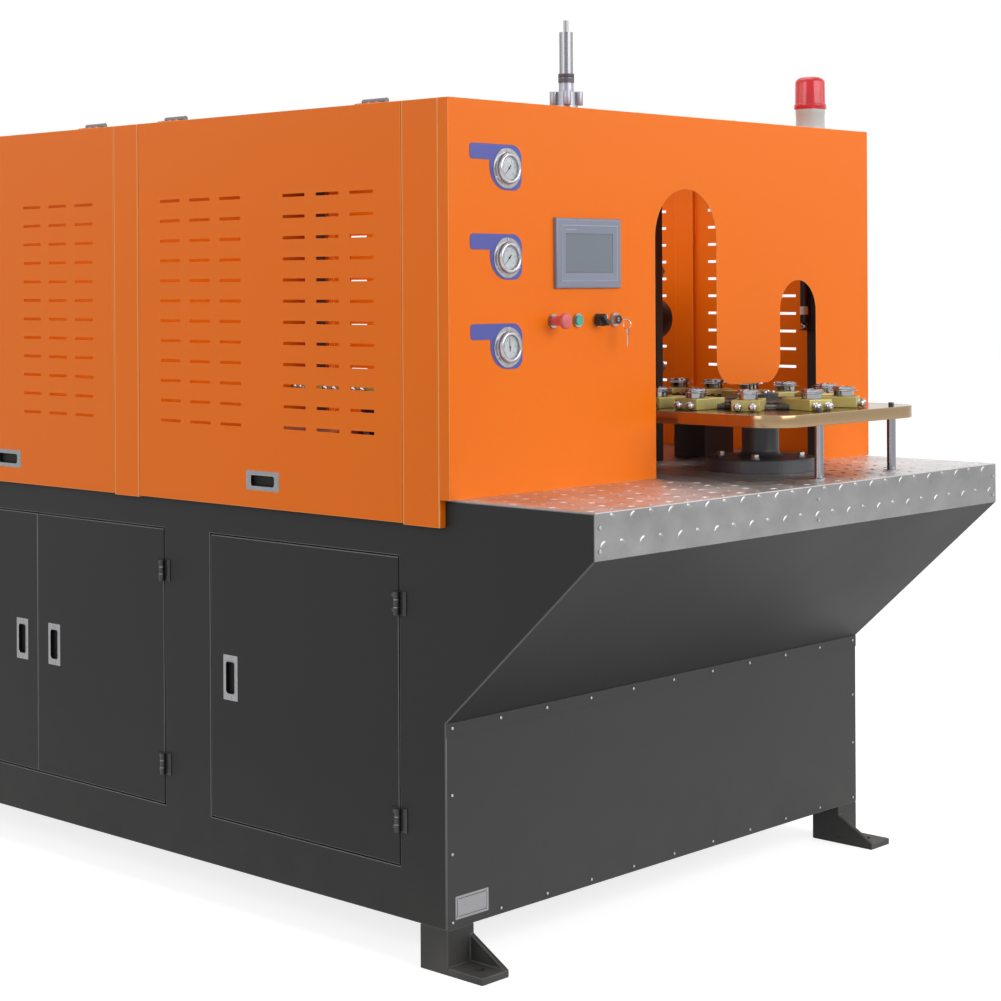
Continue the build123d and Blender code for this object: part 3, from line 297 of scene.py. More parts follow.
def bevel(bm, geom, radius, segments=2, affect="EDGES", clamp_overlap=False):
    """Rounds edges or corners to a radius."""
    return bmesh.ops.bevel(
        bm,
        geom=geom,
        offset=radius,
        offset_type="OFFSET",
        affect=affect,
        segments=segments,
        profile=0.5,
        material=-1,
        clamp_overlap=clamp_overlap,
    )


def add_piece(bm, name, materials, body, smooth=35, flat_from=0.0012):
    """Turns a finished bmesh into a piece that rides on a body. Its edges under the smooth
    angle, in degrees, are shaded round. Faces larger than flat_from stay flat; with None each
    face keeps its own shading."""
    bmesh.ops.recalc_face_normals(bm, faces=bm.faces)
    mesh = as_mesh(bm, name)
    if flat_from:
        shading = [polygon.area < flat_from for polygon in mesh.polygons]
    else:
        shading = [polygon.use_smooth for polygon in mesh.polygons]
    mesh.set_sharp_from_angle(angle=radians(smooth))
    mesh.polygons.foreach_set("use_smooth", shading)
    for material in materials if isinstance(materials, tuple) else (materials,):
        mesh.materials.append(material)
    piece = bpy.data.objects.new(name, mesh)
    scene.collection.objects.link(piece)
    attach(piece, body)
    return piece


def rounded_sheet(node, body, material, edge_highlight_material=None, *, radius, shortest):
    """A piece in place of its plain solid, with its folds and cut edges rounded down to the
    shortest length. The rounding may wear a lighter finish of its own, a painted highlight
    along the folds and cut edges."""
    flat_angle, curve_angle, fold_angle = radians(1), radians(30), radians(40)
    bm = bmesh.new()
    bm.from_mesh(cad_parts[node].data)
    bmesh.ops.remove_doubles(bm, verts=bm.verts, dist=1e-5)
    bmesh.ops.dissolve_limit(bm, angle_limit=flat_angle, verts=bm.verts, edges=bm.edges)
    for face in bm.faces:
        angles = (line.calc_face_angle(0) for line in face.edges)
        face.smooth = any(flat_angle < angle < curve_angle for angle in angles)
    sharp = [
        edge
        for edge in bm.edges
        if edge.is_manifold
        and edge.calc_face_angle() > fold_angle
        and edge.calc_length() > shortest
    ]
    rounding = bevel(bm, sharp, radius, clamp_overlap=True)
    # The rounded faces take the edge finish when one is given: a lighter painted highlight.
    for face in rounding["faces"]:
        face.smooth = True
        face.material_index = int(edge_highlight_material is not None)
    materials = (material, edge_highlight_material) if edge_highlight_material else material
    piece = add_piece(bm, f"{node}_rounded", materials, body, smooth=50, flat_from=None)
    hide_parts(node)
    return piece


dark_coat = coated(
    "dark_grey_coat", (0.0235, 0.024, 0.0245), clouds=0.16, grain=0.0012, relief=0.00012,
    roughness=0.5, spread=0.16, dust=0.1, dust_top=0.4, specular=0.17,
)
cover_coat = coated(
    "cover_grey_coat", (0.04, 0.0405, 0.041), clouds=0.12, grain=0.0012, relief=0.00012,
    roughness=0.48, spread=0.16, dust=0.1, dust_top=0.4, specular=0.25,
)
# A lighter grey for the rounded folds and edges of the base and the cabinet doors: painted
# highlight.
coat_edge_highlight = coated(
    "grey_edge_highlight", (0.15, 0.151, 0.153), clouds=0.3, grain=0.0012, relief=0.00005,
    roughness=0.42, spread=0.16,
)
dress(dark_coat, "base_frame", "base_shell")
for base_node, base_coat in (
    ("base_left_side", dark_coat),
    ("slope_panel", dark_coat),
    ("front_cover", cover_coat),
):
    rounded_sheet(
        base_node, "frame", base_coat, coat_edge_highlight, radius=0.0014, shortest=0.05
    )

# Lap of the sloping sheet: its lower edge is folded down over the front cover in a band, and
# the cover's screws go through both.
cover_low, cover_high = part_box("front_cover")
lap_height = 0.028
lap_thickness = 0.0015


def block_shape(size, radius):
    """A rectangular block about its own centre, with rounded edges."""
    bm = bmesh.new()
    bmesh.ops.create_cube(bm, size=1)
    bmesh.ops.scale(bm, vec=size, verts=bm.verts)
    if radius:
        bevel(bm, bm.edges[:], radius, clamp_overlap=True)
    return as_mesh(bm, "block_shape")


def place(bm, shape, matrix, material_index=0):
    """Adds a copy of a shape to a bmesh, moved by a matrix."""
    before = len(bm.verts)
    faces_before = len(bm.faces)
    bm.from_mesh(shape)
    bm.verts.ensure_lookup_table()
    bm.faces.ensure_lookup_table()
    bmesh.ops.transform(bm, matrix=matrix, verts=bm.verts[before:])
    for face in bm.faces[faces_before:]:
        face.material_index = material_index


def placed(*copies):
    """A bmesh with a copy of each given shape, moved by its matrix."""
    bm = bmesh.new()
    for shape, matrix in copies:
        place(bm, shape, matrix)
    return bm


def at(x, y, z):
    """A shift to a point."""
    return Matrix.Translation((x, y, z))


lap_size = (cover_high.x - cover_low.x, lap_thickness, lap_height)
lap_place = at(0, cover_low.y - lap_thickness / 2, cover_high.z - lap_height / 2)
lap_bm = placed((block_shape(lap_size, 0.0005), lap_place))
add_piece(lap_bm, "slope_lap", cover_coat, "frame")

# Cover screws: bright zinc-plated pan heads with a shallow recess, a row along the cover's top
# and bottom and two up each side.


def turned(profile, steps=40):
    """A shape turned about Z from (radius, height) points."""
    bm = bmesh.new()
    verts = [bm.verts.new((radius, 0, height)) for radius, height in profile]
    edges = [bm.edges.new(pair) for pair in zip(verts, verts[1:])]
    bmesh.ops.spin(
        bm,
        geom=verts + edges,
        cent=(0, 0, 0),
        axis=(0, 0, 1),
        angle=2 * pi,
        steps=steps,
        use_merge=True,
        use_duplicate=False,
    )
    bmesh.ops.remove_doubles(bm, verts=bm.verts, dist=1e-6)
    return as_mesh(bm, "turned_shape")


metal_group, metal_in, metal_out = add_group(
    "worked_metal",
    (
        ("Color", "Color", (0.6, 0.6, 0.6, 1)),
        ("Grain", "Vector", (60, 60, 60)),
        ("Streaks", "Float", 0.2),
        ("Smudge Scale", "Float", 14.0),
        ("Roughness", "Float", 0.3),
        ("Roughness Spread", "Float", 0.2),
        ("Tone Middle", "Float", 1.0),
    ),
    (("Color", "Color"), ("Roughness", "Float"), ("Height", "Float")),
)
metal_place = add_node(metal_group, "ShaderNodeTexCoord")
metal_stretch = add_node(metal_group, "ShaderNodeVectorMath", operation="MULTIPLY")
metal_streaks = add_node(metal_group, "ShaderNodeTexNoise", Scale=1.0, Detail=4.0)
metal_smudges = add_node(metal_group, "ShaderNodeTexNoise", Detail=5.0)
metal_tone = add_node(metal_group, "ShaderNodeHueSaturation")
metal_links = metal_group.links
metal_links.new(metal_place.outputs["Object"], metal_stretch.inputs[0])
metal_links.new(metal_in.outputs["Grain"], metal_stretch.inputs[1])
metal_links.new(metal_stretch.outputs[0], metal_streaks.inputs["Vector"])
metal_links.new(metal_place.outputs["Object"], metal_smudges.inputs["Vector"])
metal_links.new(metal_in.outputs["Smudge Scale"], metal_smudges.inputs["Scale"])
metal_links.new(metal_in.outputs["Color"], metal_tone.inputs["Color"])
metal_links.new(
    spread_about(metal_group, metal_streaks, metal_in, "Tone Middle", "Streaks"),
    metal_tone.inputs["Value"],
)
metal_links.new(metal_tone.outputs[0], metal_out.inputs["Color"])
metal_links.new(
    spread_about(metal_group, metal_smudges, metal_in, "Roughness", "Roughness Spread"),
    metal_out.inputs["Roughness"],
)
metal_links.new(metal_streaks.outputs[0], metal_out.inputs["Height"])


def worked(name, color, grain, streaks, relief, roughness, spread, smudge=14.0, metallic=1.0):
    """Bare or plated metal: tool marks along one way and smudges in its gloss."""
    material, shader = skinned(
        name,
        metal_group,
        color,
        strength=0.4,
        relief=relief,
        Grain=grain,
        Streaks=streaks,
        Smudge_Scale=smudge,
        Roughness=roughness,
        Roughness_Spread=spread,
    )
    shader.inputs["Metallic"].default_value = metallic
    return material


bright_zinc = worked(
    "bright_zinc", (0.36, 0.36, 0.375), grain=(300, 300, 300), streaks=0.3, relief=0.00003,
    roughness=0.28, spread=0.2, smudge=60,
)
facing_front = Matrix.Rotation(radians(90), 4, "X")
facing_left = Matrix.Rotation(radians(-90), 4, "Y")
facing_right = Matrix.Rotation(radians(90), 4, "Y")


def pan_head(radius, height):
    """A pan-head screw about Z, its recess a shallow cone."""
    return turned(
        (
            (0, height * 0.45),
            (radius * 0.3, height * 0.9),
            (radius * 0.62, height),
            (radius * 0.88, height * 0.8),
            (radius, height * 0.4),
            (radius, 0),
        ),
        20,
    )


cover_screw = pan_head(0.0035, 0.0022)
screw_bm = bmesh.new()
first_screw_x = 0.016
screw_columns = 11
screw_from_top = 0.011
screw_from_bottom = 0.013
side_screw_heights = (0.369, 0.247)
screw_span = cover_high.x - cover_low.x - 2 * first_screw_x
for column in range(screw_columns):
    screw_x = cover_low.x + first_screw_x + column * screw_span / (screw_columns - 1)
    for screw_z, screw_y in (
        (cover_high.z - screw_from_top, cover_low.y - lap_thickness),
        (cover_low.z + screw_from_bottom, cover_low.y),
    ):
        place(screw_bm, cover_screw, at(screw_x, screw_y, screw_z) @ facing_front)
for screw_z in side_screw_heights:
    for screw_x in (cover_low.x + first_screw_x, cover_high.x - first_screw_x):
        place(screw_bm, cover_screw, at(screw_x, cover_low.y, screw_z) @ facing_front)
add_piece(screw_bm, "cover_screws", bright_zinc, "frame")

# Name plate: a small aluminium plate, riveted low on the cover, its field framed by a painted
# line and left bare.


def plate_shape(outline, depth, radii, edge=0.0, segments=6):
    """A flat plate from its corners, each corner rounded, and the outer rim if edge is given."""
    near = 1e-7
    bm = bmesh.new()
    face = bm.faces.new([bm.verts.new((x, y, 0)) for x, y in outline])
    raised = bmesh.ops.extrude_face_region(bm, geom=[face])
    tops = [item for item in raised["geom"] if isinstance(item, bmesh.types.BMVert)]
    bmesh.ops.translate(bm, vec=(0, 0, depth), verts=tops)
    for (x, y), radius in zip(outline, radii):
        upright = [
            line
            for line in bm.edges
            if all(
                abs(vert.co.x - x) < near and abs(vert.co.y - y) < near for vert in line.verts
            )
        ]
        if radius and upright:
            bevel(bm, upright, radius, segments)
    if edge:
        rim = [
            line
            for line in bm.edges
            if all(abs(vert.co.z - depth) < near for vert in line.verts)
        ]
        bevel(bm, rim, edge)
    bmesh.ops.recalc_face_normals(bm, faces=bm.faces)
    return as_mesh(bm, "plate_shape")


def rectangle(width, height):
    """The corners of an upright rectangle about the origin."""
    return (
        (-width / 2, -height / 2),
        (width / 2, -height / 2),
        (width / 2, height / 2),
        (-width / 2, height / 2),
    )


plate_width = 0.099
plate_height = 0.048
plate_corner = 0.0016
rivet_height = 0.0011
rivet_inset = 0.006
name_plate_bm = bmesh.new()
name_plate_place = at(-0.6725, cover_low.y, 0.134) @ facing_front
for inset, depth, finish in ((0, 0.0008, 0), (0.01, 0.0009, 1), (0.0125, 0.001, 0)):
    outline = rectangle(plate_width - inset, plate_height - inset)
    layer = plate_shape(outline, depth, (plate_corner,) * 4)
    place(name_plate_bm, layer, name_plate_place, finish)
rivet = pan_head(0.0018, rivet_height)
rivet_x = plate_width / 2 - rivet_inset
rivet_y = plate_height / 2 - rivet_inset
for side_x in (-1, 1):
    for side_y in (-1, 1):
        rivet_place = at(side_x * rivet_x, side_y * rivet_y, rivet_height)
        place(name_plate_bm, rivet, name_plate_place @ rivet_place)
plate_metal = worked(
    "name_plate_metal", (0.3, 0.3, 0.31), grain=(60, 900, 900), streaks=0.4, relief=0.00003,
    roughness=0.4, spread=0.2,
)
add_piece(name_plate_bm, "name_plate", (plate_metal, dark_coat), "frame")

# Feet: square columns welded on thick flame-cut pads, painted with the base and dusty from the
# floor. A weld bead joins each column to its pad.
foot_coat = coated(
    "foot_coat", (0.03, 0.0305, 0.031), clouds=0.2, grain=0.0012, relief=0.00012, roughness=0.5,
    spread=0.16, dust=0.28, dust_top=0.12, specular=0.25,
)
# A lighter grey on the feet's rounded edges: painted highlight.
foot_edge_highlight = coated(
    "foot_coat_highlight", (0.055, 0.0555, 0.057), clouds=0.3, grain=0.0012, relief=0.00005,
    roughness=0.5, spread=0.16, dust=0.28, dust_top=0.12, specular=0.25,
)
rounded_sheet("feet", "frame", foot_coat, foot_edge_highlight, radius=0.0025, shortest=0.01)
foot_low, foot_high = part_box("feet")
foot_width = 0.08
pad_top = 0.016
bead_radius = 0.0035
weld_bm = bmesh.new()


def bead(bm, start, end, radius):
    """A weld bead between two points: a rod with small overlapping swells."""
    start = Vector(start)
    run = Vector(end) - start
    waist = radius * 0.86
    crest = 0.55
    swells = max(4, int(run.length / (1.6 * radius)))
    profile = [(0, 0)]
    for swell in range(swells):
        profile.append((waist, run.length * swell / swells))
        profile.append((radius, run.length * (swell + crest) / swells))
    profile += [(waist, run.length), (0, run.length)]
    place(bm, turned(profile, 8), at(*start) @ run.to_track_quat("Z", "Y").to_matrix().to_4x4())


foot_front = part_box("front_cover")[0].y
foot_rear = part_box("base_shell")[1].y
for foot_x in (foot_low.x, foot_high.x - foot_width):
    for weld_y in (foot_front, foot_rear):
        weld_end = (foot_x + foot_width, weld_y, pad_top)
        bead(weld_bm, (foot_x, weld_y, pad_top), weld_end, bead_radius)
add_piece(weld_bm, "foot_welds", foot_coat, "frame")

# Cabinet doors: folded trays on surface hinges, coated as the base, each with a pressed pull:
# a bright rim round a cup painted near-black as painted shade, with a curled lip to grip.
door_coat = coated(
    "door_coat", (0.022, 0.0225, 0.023), clouds=0.2, grain=0.0012, relief=0.00012, roughness=0.5,
    spread=0.18, dust=0.08, dust_top=0.4, specular=0.17,
)
bright_chrome = worked(
    "bright_chrome", (0.42, 0.42, 0.44), grain=(120, 120, 120), streaks=0.35, relief=0.00001,
    roughness=0.12, spread=0.1, smudge=25,
)
pull_chrome = worked(
    "pull_chrome", (0.27, 0.27, 0.28), grain=(120, 120, 120), streaks=0.35, relief=0.00001,
    roughness=0.14, spread=0.1, smudge=25,
)
# Near-black for the inside of the pulls' cups: painted shade.
pull_shadow = coated(
    "pull_cup_painted_shade", (0.007, 0.007, 0.008), clouds=0.2, grain=0.002, relief=0.00003,
    roughness=0.5, spread=0.2, specular=0.15,
)


def opening_loop(bm, length, breadth, radius):
    """The edges of a flat rectangle about the origin, its corners rounded."""
    corners = bmesh.ops.create_grid(bm, x_segments=1, y_segments=1, size=0.5)["verts"]
    bmesh.ops.scale(bm, vec=(length, breadth, 1), verts=corners)
    old_edges = set(bm.edges) - {line for corner in corners for line in corner.link_edges}
    bevel(bm, corners, radius, 6, "VERTICES")
    bmesh.ops.delete(bm, geom=bm.faces[:], context="FACES_ONLY")
    return [line for line in bm.edges if line not in old_edges]


def pull_handle(node, body, outward):
    """A pressed pull in the place of its solid; outward is -1 on the left and 1 on the right."""
    low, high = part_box(node)
    centre = (low + high) / 2
    face_x = low.x if outward < 0 else high.x
    wide, tall = high.y - low.y, high.z - low.z
    end_rim, side_rim = 0.0135, 0.0095
    sheet = 0.0007
    rim_height = 0.0012
    open_tall = tall - 2 * (end_rim if tall > wide else side_rim)
    open_wide = wide - 2 * (side_rim if tall > wide else end_rim)
    bm = bmesh.new()
    outer = opening_loop(bm, tall - 0.001, wide - 0.001, 0.0015)
    inner = opening_loop(bm, open_tall, open_wide, 0.0068)
    bmesh.ops.bridge_loops(bm, edges=outer + inner)
    for run, steps in (
        (outer, ((-0.0004, 1.0), (-0.0008, 1.0))),
        (inner, ((0.0007, 0.985), (0.0002, 0.96), (-0.0012, 0.98), (-0.0075, 0.99))),
    ):
        for drop, narrowing in steps:
            grown = bmesh.ops.extrude_edge_only(bm, edges=run)["geom"]
            verts = [item for item in grown if isinstance(item, bmesh.types.BMVert)]
            run = [item for item in grown if isinstance(item, bmesh.types.BMEdge)]
            bmesh.ops.translate(bm, vec=(0, 0, drop), verts=verts)
            bmesh.ops.scale(bm, vec=(narrowing, narrowing, 1), verts=verts)
    bmesh.ops.holes_fill(bm, edges=run)
    bmesh.ops.recalc_face_normals(bm, faces=bm.faces)
    if max(bm.faces, key=lambda face: face.calc_area()).normal.z < 0:
        bmesh.ops.reverse_faces(bm, faces=bm.faces)
    bmesh.ops.solidify(bm, geom=bm.faces[:], thickness=sheet)
    # Faces sunk below the rim take the near-black cup finish: painted shade in the hollow.
    for face in bm.faces:
        face.material_index = int(face.calc_center_median().z < -2 * sheet)
    long_way = max(tall, wide) / 2 - end_rim / 2
    for end in (-1, 1):
        screw_spot = at(end * long_way, 0, 0) if tall > wide else at(0, end * long_way, 0)
        place(bm, pan_head(0.0031, 0.0011), screw_spot)
    turn = facing_left if outward < 0 else facing_right
    pull_place = at(face_x, centre.y, centre.z) @ turn @ at(0, 0, -rim_height)
    bmesh.ops.transform(bm, matrix=pull_place, verts=bm.verts)
    piece = add_piece(bm, f"{node}_pressed", (pull_chrome, pull_shadow), body)
    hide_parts(node)


for cabinet_door in ("front_cabinet_door", "middle_cabinet_door", "rear_cabinet_door"):
    rounded_sheet(
        cabinet_door, cabinet_door, door_coat, coat_edge_highlight, radius=0.0019, shortest=0.1
    )
    pull_handle(f"{cabinet_door}_pull", cabinet_door, -1)

# Cabinet hinges: black steel leaves with a rolled barrel between the door and the side sheet,
# each leaf held by two screws, and a bright ring at each joint of the barrel.
hinge_black = coated(
    "hinge_black", (0.022, 0.022, 0.023), clouds=0.25, grain=0.0009, relief=0.00004, roughness=0.36,
    spread=0.2, dust=0.15, dust_top=0.9,
)
dress(hinge_black, "cabinet_hinges")
leaf_x = -0.748
barrel_x = -0.754
barrel_off_door = 0.0015
barrel_joint = 0.0083
screw_off_barrel = 0.0155
screw_off_middle = 0.016
hinge_screw = pan_head(0.0042, 0.0012)
barrel_ring = turned(((0.0063, -0.0006), (0.0066, -0.0003), (0.0066, 0.0003), (0.0063, 0.0006)), 24)
frame_screw_bm = bmesh.new()
ring_bm = bmesh.new()
for cabinet_door, outward in (
    ("front_cabinet_door", -1),
    ("middle_cabinet_door", -1),
    ("rear_cabinet_door", 1),
):
    door_low, door_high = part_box(cabinet_door)
    hinge_y = (door_low.y if outward < 0 else door_high.y) + outward * barrel_off_door
    door_screw_bm = bmesh.new()
    for hinge_z in (0.299, 0.755):
        for screw_z in (hinge_z - screw_off_middle, hinge_z + screw_off_middle):
            for leaf_bm, side in ((frame_screw_bm, outward), (door_screw_bm, -outward)):
                screw_place = at(leaf_x, hinge_y + side * screw_off_barrel, screw_z)
                place(leaf_bm, hinge_screw, screw_place @ facing_left)
        for ring_z in (hinge_z - barrel_joint, hinge_z + barrel_joint):
            place(ring_bm, barrel_ring, at(barrel_x, hinge_y, ring_z))
    screws_name = f"{cabinet_door}_hinge_screws"
    add_piece(door_screw_bm, screws_name, hinge_black, cabinet_door)
add_piece(frame_screw_bm, "cabinet_hinge_screws", hinge_black, "frame")
add_piece(ring_bm, "cabinet_hinge_rings", bright_zinc, "frame")

# Electrical board: a zinc-plated mounting plate with drives, a relay row and a terminal strip,
# seen only when the front cabinet door is open.
board_low, board_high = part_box("electrical_board")
board_zinc = worked(
    "board_zinc", (0.6, 0.6, 0.6), grain=(30, 30, 30), streaks=0.3, relief=0.00005, roughness=0.4,
    spread=0.2, smudge=9,
)
dress(board_zinc, "electrical_board")
device_grey = coated(
    "device_grey", (0.3, 0.31, 0.32), clouds=0.1, grain=0.0008, relief=0.00004, roughness=0.5,
    spread=0.1,
)
device_black = coated(
    "device_black", (0.03, 0.03, 0.032), clouds=0.1, grain=0.0008, relief=0.00004, roughness=0.45,
    spread=0.1,
)
board_x = board_high.x - 0.04
board_margin = 0.06
drive_middle = 0.055
drive_pitch = 0.15
drive_x = board_x - 0.0915
drive_z = 0.63
display_z = 0.665
first_vent_z = 0.58
vent_pitch = 0.008
device_bm = bmesh.new()
drive_face = block_shape((0.003, 0.104, 0.132), 0.0012)
drive_display = block_shape((0.002, 0.05, 0.026), 0.0006)
drive_vent = block_shape((0.0015, 0.08, 0.003), 0.0004)
for drive in range(3):
    drive_y = board_low.y + board_margin + drive_pitch * drive + drive_middle
    place(device_bm, drive_face, at(drive_x, drive_y, drive_z))
    place(device_bm, drive_display, at(drive_x - 0.002, drive_y, display_z), 1)
    for vent in range(7):
        vent_place = at(drive_x - 0.0017, drive_y, first_vent_z + vent_pitch * vent)
        place(device_bm, drive_vent, vent_place, 1)
relay_body = block_shape((0.004, 0.0155, 0.062), 0.0008)
terminal_body = block_shape((0.003, 0.0052, 0.036), 0.0005)
row_start = board_low.y + board_margin
row_end = board_high.y - board_margin
relay_count = 26
for relay in range(relay_count):
    relay_y = row_start + (relay + 0.5) * (row_end - row_start) / relay_count
    place(device_bm, relay_body, at(board_x - 0.074, relay_y, 0.435), relay % 2)
terminal_count = 70
for terminal in range(terminal_count):
    terminal_y = row_start + (terminal + 0.5) * (row_end - row_start) / terminal_count
    place(device_bm, terminal_body, at(board_x - 0.0465, terminal_y, 0.28))
add_piece(device_bm, "board_devices", (device_grey, device_black), "frame")

# Bed plate: thick ground steel on the base, under everything that works.
bed_steel = worked(
    "bed_steel", (0.5, 0.5, 0.51), grain=(4, 160, 60), streaks=0.25, relief=0.00003, roughness=0.36,
    spread=0.2, smudge=7,
)
dress(bed_steel, "bed_plate")

# Front table: raised-pattern steel sheet, folded down in an apron. Lens-shaped studs stand on
# it in crossed rows. Faces that look up are painted lighter than the apron, partly as wear and
# partly as painted top light; the rounded folds are painted brighter still, a painted highlight.
studded_steel = worked(
    "studded_steel", (0.265, 0.265, 0.265), grain=(13, 9, 17), streaks=0.55, relief=0.0005,
    roughness=0.4, spread=0.3, smudge=16,
)
steel_tree = studded_steel.node_tree
# Faces are lighter the more they look up: wear, and painted top light.
steel_facing = add_node(steel_tree, "ShaderNodeNewGeometry")
steel_up = add_node(steel_tree, "ShaderNodeSeparateXYZ")
steel_wear_and_top_light = add_node(steel_tree, "ShaderNodeMix", data_type="RGBA")
steel_wear_and_top_light.inputs[6].default_value = (0.26, 0.26, 0.264, 1)
steel_wear_and_top_light.inputs[7].default_value = (0.66, 0.65, 0.64, 1)
steel_tree.links.new(steel_facing.outputs["Normal"], steel_up.inputs[0])
steel_tree.links.new(steel_up.outputs["Z"], steel_wear_and_top_light.inputs[0])
steel_skin = next(node for node in steel_tree.nodes if node.type == "GROUP")
steel_tree.links.new(steel_wear_and_top_light.outputs[2], steel_skin.inputs["Color"])
# A bright steel for the table's rounded folds: painted highlight.
fold_highlight_steel = worked(
    "fold_highlight_steel", (0.62, 0.61, 0.6), grain=(13, 9, 17), streaks=0.3, relief=0.0001, roughness=0.3,
    spread=0.2, smudge=16,
)
rounded_sheet(
    "table_plate", "frame", studded_steel, fold_highlight_steel, radius=0.0016, shortest=0.2
)
table_low, table_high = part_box("table_plate")
stud_rows = 13
first_row = 0.03
stud_pitch = 0.06
stud_row_pitch = 0.052
stud_length = 0.023
stud_width = 0.0132
stud_rise = 0.0015
stud_margin = 0.022


def stud_shape():
    """Half of a flattened lens, about the origin and pointing up Z."""
    bm = bmesh.new()
    bmesh.ops.create_uvsphere(bm, u_segments=12, v_segments=6, radius=0.5)
    bmesh.ops.scale(bm, vec=(stud_length, stud_width, 2 * stud_rise), verts=bm.verts)
    bmesh.ops.bisect_plane(
        bm,
        geom=bm.verts[:] + bm.edges[:] + bm.faces[:],
        plane_co=(0, 0, -0.0001),
        plane_no=(0, 0, 1),
        clear_inner=True,
    )
    bmesh.ops.holes_fill(bm, edges=[edge for edge in bm.edges if edge.is_boundary])
    return as_mesh(bm, "stud_shape")


stud = stud_shape()
stud_bm = bmesh.new()
stud_columns = int((table_high.x - table_low.x - 2 * stud_margin) / stud_pitch)
last_stud_x = table_high.x - 0.01
last_stud_y = table_high.y - 0.012
last_apron_x = table_high.x - 0.012
covers_y = -0.9
inner_table_x = 0.634
for row in range(stud_rows):
    row_y = table_low.y + first_row + row * stud_row_pitch
    for column in range(stud_columns + 1):
        stud_x = table_low.x + stud_margin + (column + 0.5 * (row % 2)) * stud_pitch
        behind_posts = row_y > covers_y and abs(stud_x) > inner_table_x
        if behind_posts or stud_x > last_stud_x or row_y > last_stud_y:
            continue
        lean = radians(45 if (row + column) % 2 else -45)
        place(stud_bm, stud, at(stud_x, row_y, table_high.z) @ Matrix.Rotation(lean, 4, "Z"))
for row, drop in enumerate((0.013, 0.065)):
    for column in range(stud_columns + 1):
        stud_x = table_low.x + stud_margin + (column + 0.5 * (1 - row)) * stud_pitch
        if stud_x > last_apron_x:
            continue
        lean = radians(45 if (row + column) % 2 else -45)
        stud_place = at(stud_x, table_low.y, table_high.z - drop)
        place(stud_bm, stud, stud_place @ facing_front @ Matrix.Rotation(lean, 4, "Z"))
add_piece(stud_bm, "table_studs", studded_steel, "frame")

# Apron screws: three pairs that hold the table's fold to the cheeks and the slope.
apron_bm = bmesh.new()
apron_screw = pan_head(0.0045, 0.0024)
apron_inset = 0.013
for screw_x in (table_low.x + apron_inset, 0.0, table_high.x - apron_inset):
    for drop in (0.03, 0.076):
        screw_place = at(screw_x, table_low.y, table_high.z - drop) @ facing_front
        place(apron_bm, apron_screw, screw_place)
add_piece(apron_bm, "apron_screws", bright_zinc, "frame")

# Guide plate: ground steel, bright yellow-plated, that the carriers slide on. Its rim mirrors
# the table and the panel.
yellow_plating = worked(
    "yellow_plating", (0.34, 0.235, 0.13), grain=(3, 60, 60), streaks=0.2, relief=0.00003,
    roughness=0.18, spread=0.14, smudge=8,
)
rounded_sheet(
    "guide_plate", "frame", yellow_plating, radius=0.0012, shortest=0.002
)
plate_low, plate_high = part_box("guide_plate")

# Posts under the plate's front edge: ground bright bars with a black socket screw on top of
# the plate and a thin washer at the table.
# Strong lengthwise light and dark streaks: grinding marks, and painted reflection bands.
ground_bar_reflection_streaks = worked(
    "ground_bar_reflection_streaks", (0.29, 0.29, 0.32), grain=(120, 120, 2), streaks=1.3, relief=0.00001,
    roughness=0.14, spread=0.1, smudge=20,
)
dress(ground_bar_reflection_streaks, "plate_posts")
screw_black = coated(
    "blackened_screw", (0.02, 0.02, 0.022), clouds=0.2, grain=0.0009, relief=0.00003,
    roughness=0.34, spread=0.2,
)


def socket_screw(head_radius, head_height, socket_radius):
    """A socket-head cap screw about Z, its socket let into the head as a round hole."""
    socket_floor = head_height * 0.45
    return turned(
        (
            (0, socket_floor),
            (socket_radius, socket_floor),
            (socket_radius, head_height),
            (head_radius * 0.93, head_height),
            (head_radius, head_height * 0.9),
            (head_radius, 0),
        ),
        24,
    )


posts_low, posts_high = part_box("plate_posts")
post_radius = 0.0105
post_y = (posts_low.y + posts_high.y) / 2
top_screw = socket_screw(0.0064, 0.0095, 0.003)
washer = turned(
    ((0.0106, 0), (0.0106, 0.0022), (0.0168, 0.0022), (0.0175, 0.0015), (0.0175, 0)), 32
)
post_screw_bm = bmesh.new()
washer_bm = bmesh.new()
for post_x in (posts_low.x + post_radius, posts_high.x - post_radius):
    place(post_screw_bm, top_screw, at(post_x, post_y, plate_high.z))
    place(washer_bm, washer, at(post_x, post_y, table_high.z))
add_piece(post_screw_bm, "post_screws", screw_black, "frame")
add_piece(washer_bm, "post_washers", ground_bar_reflection_streaks, "frame")

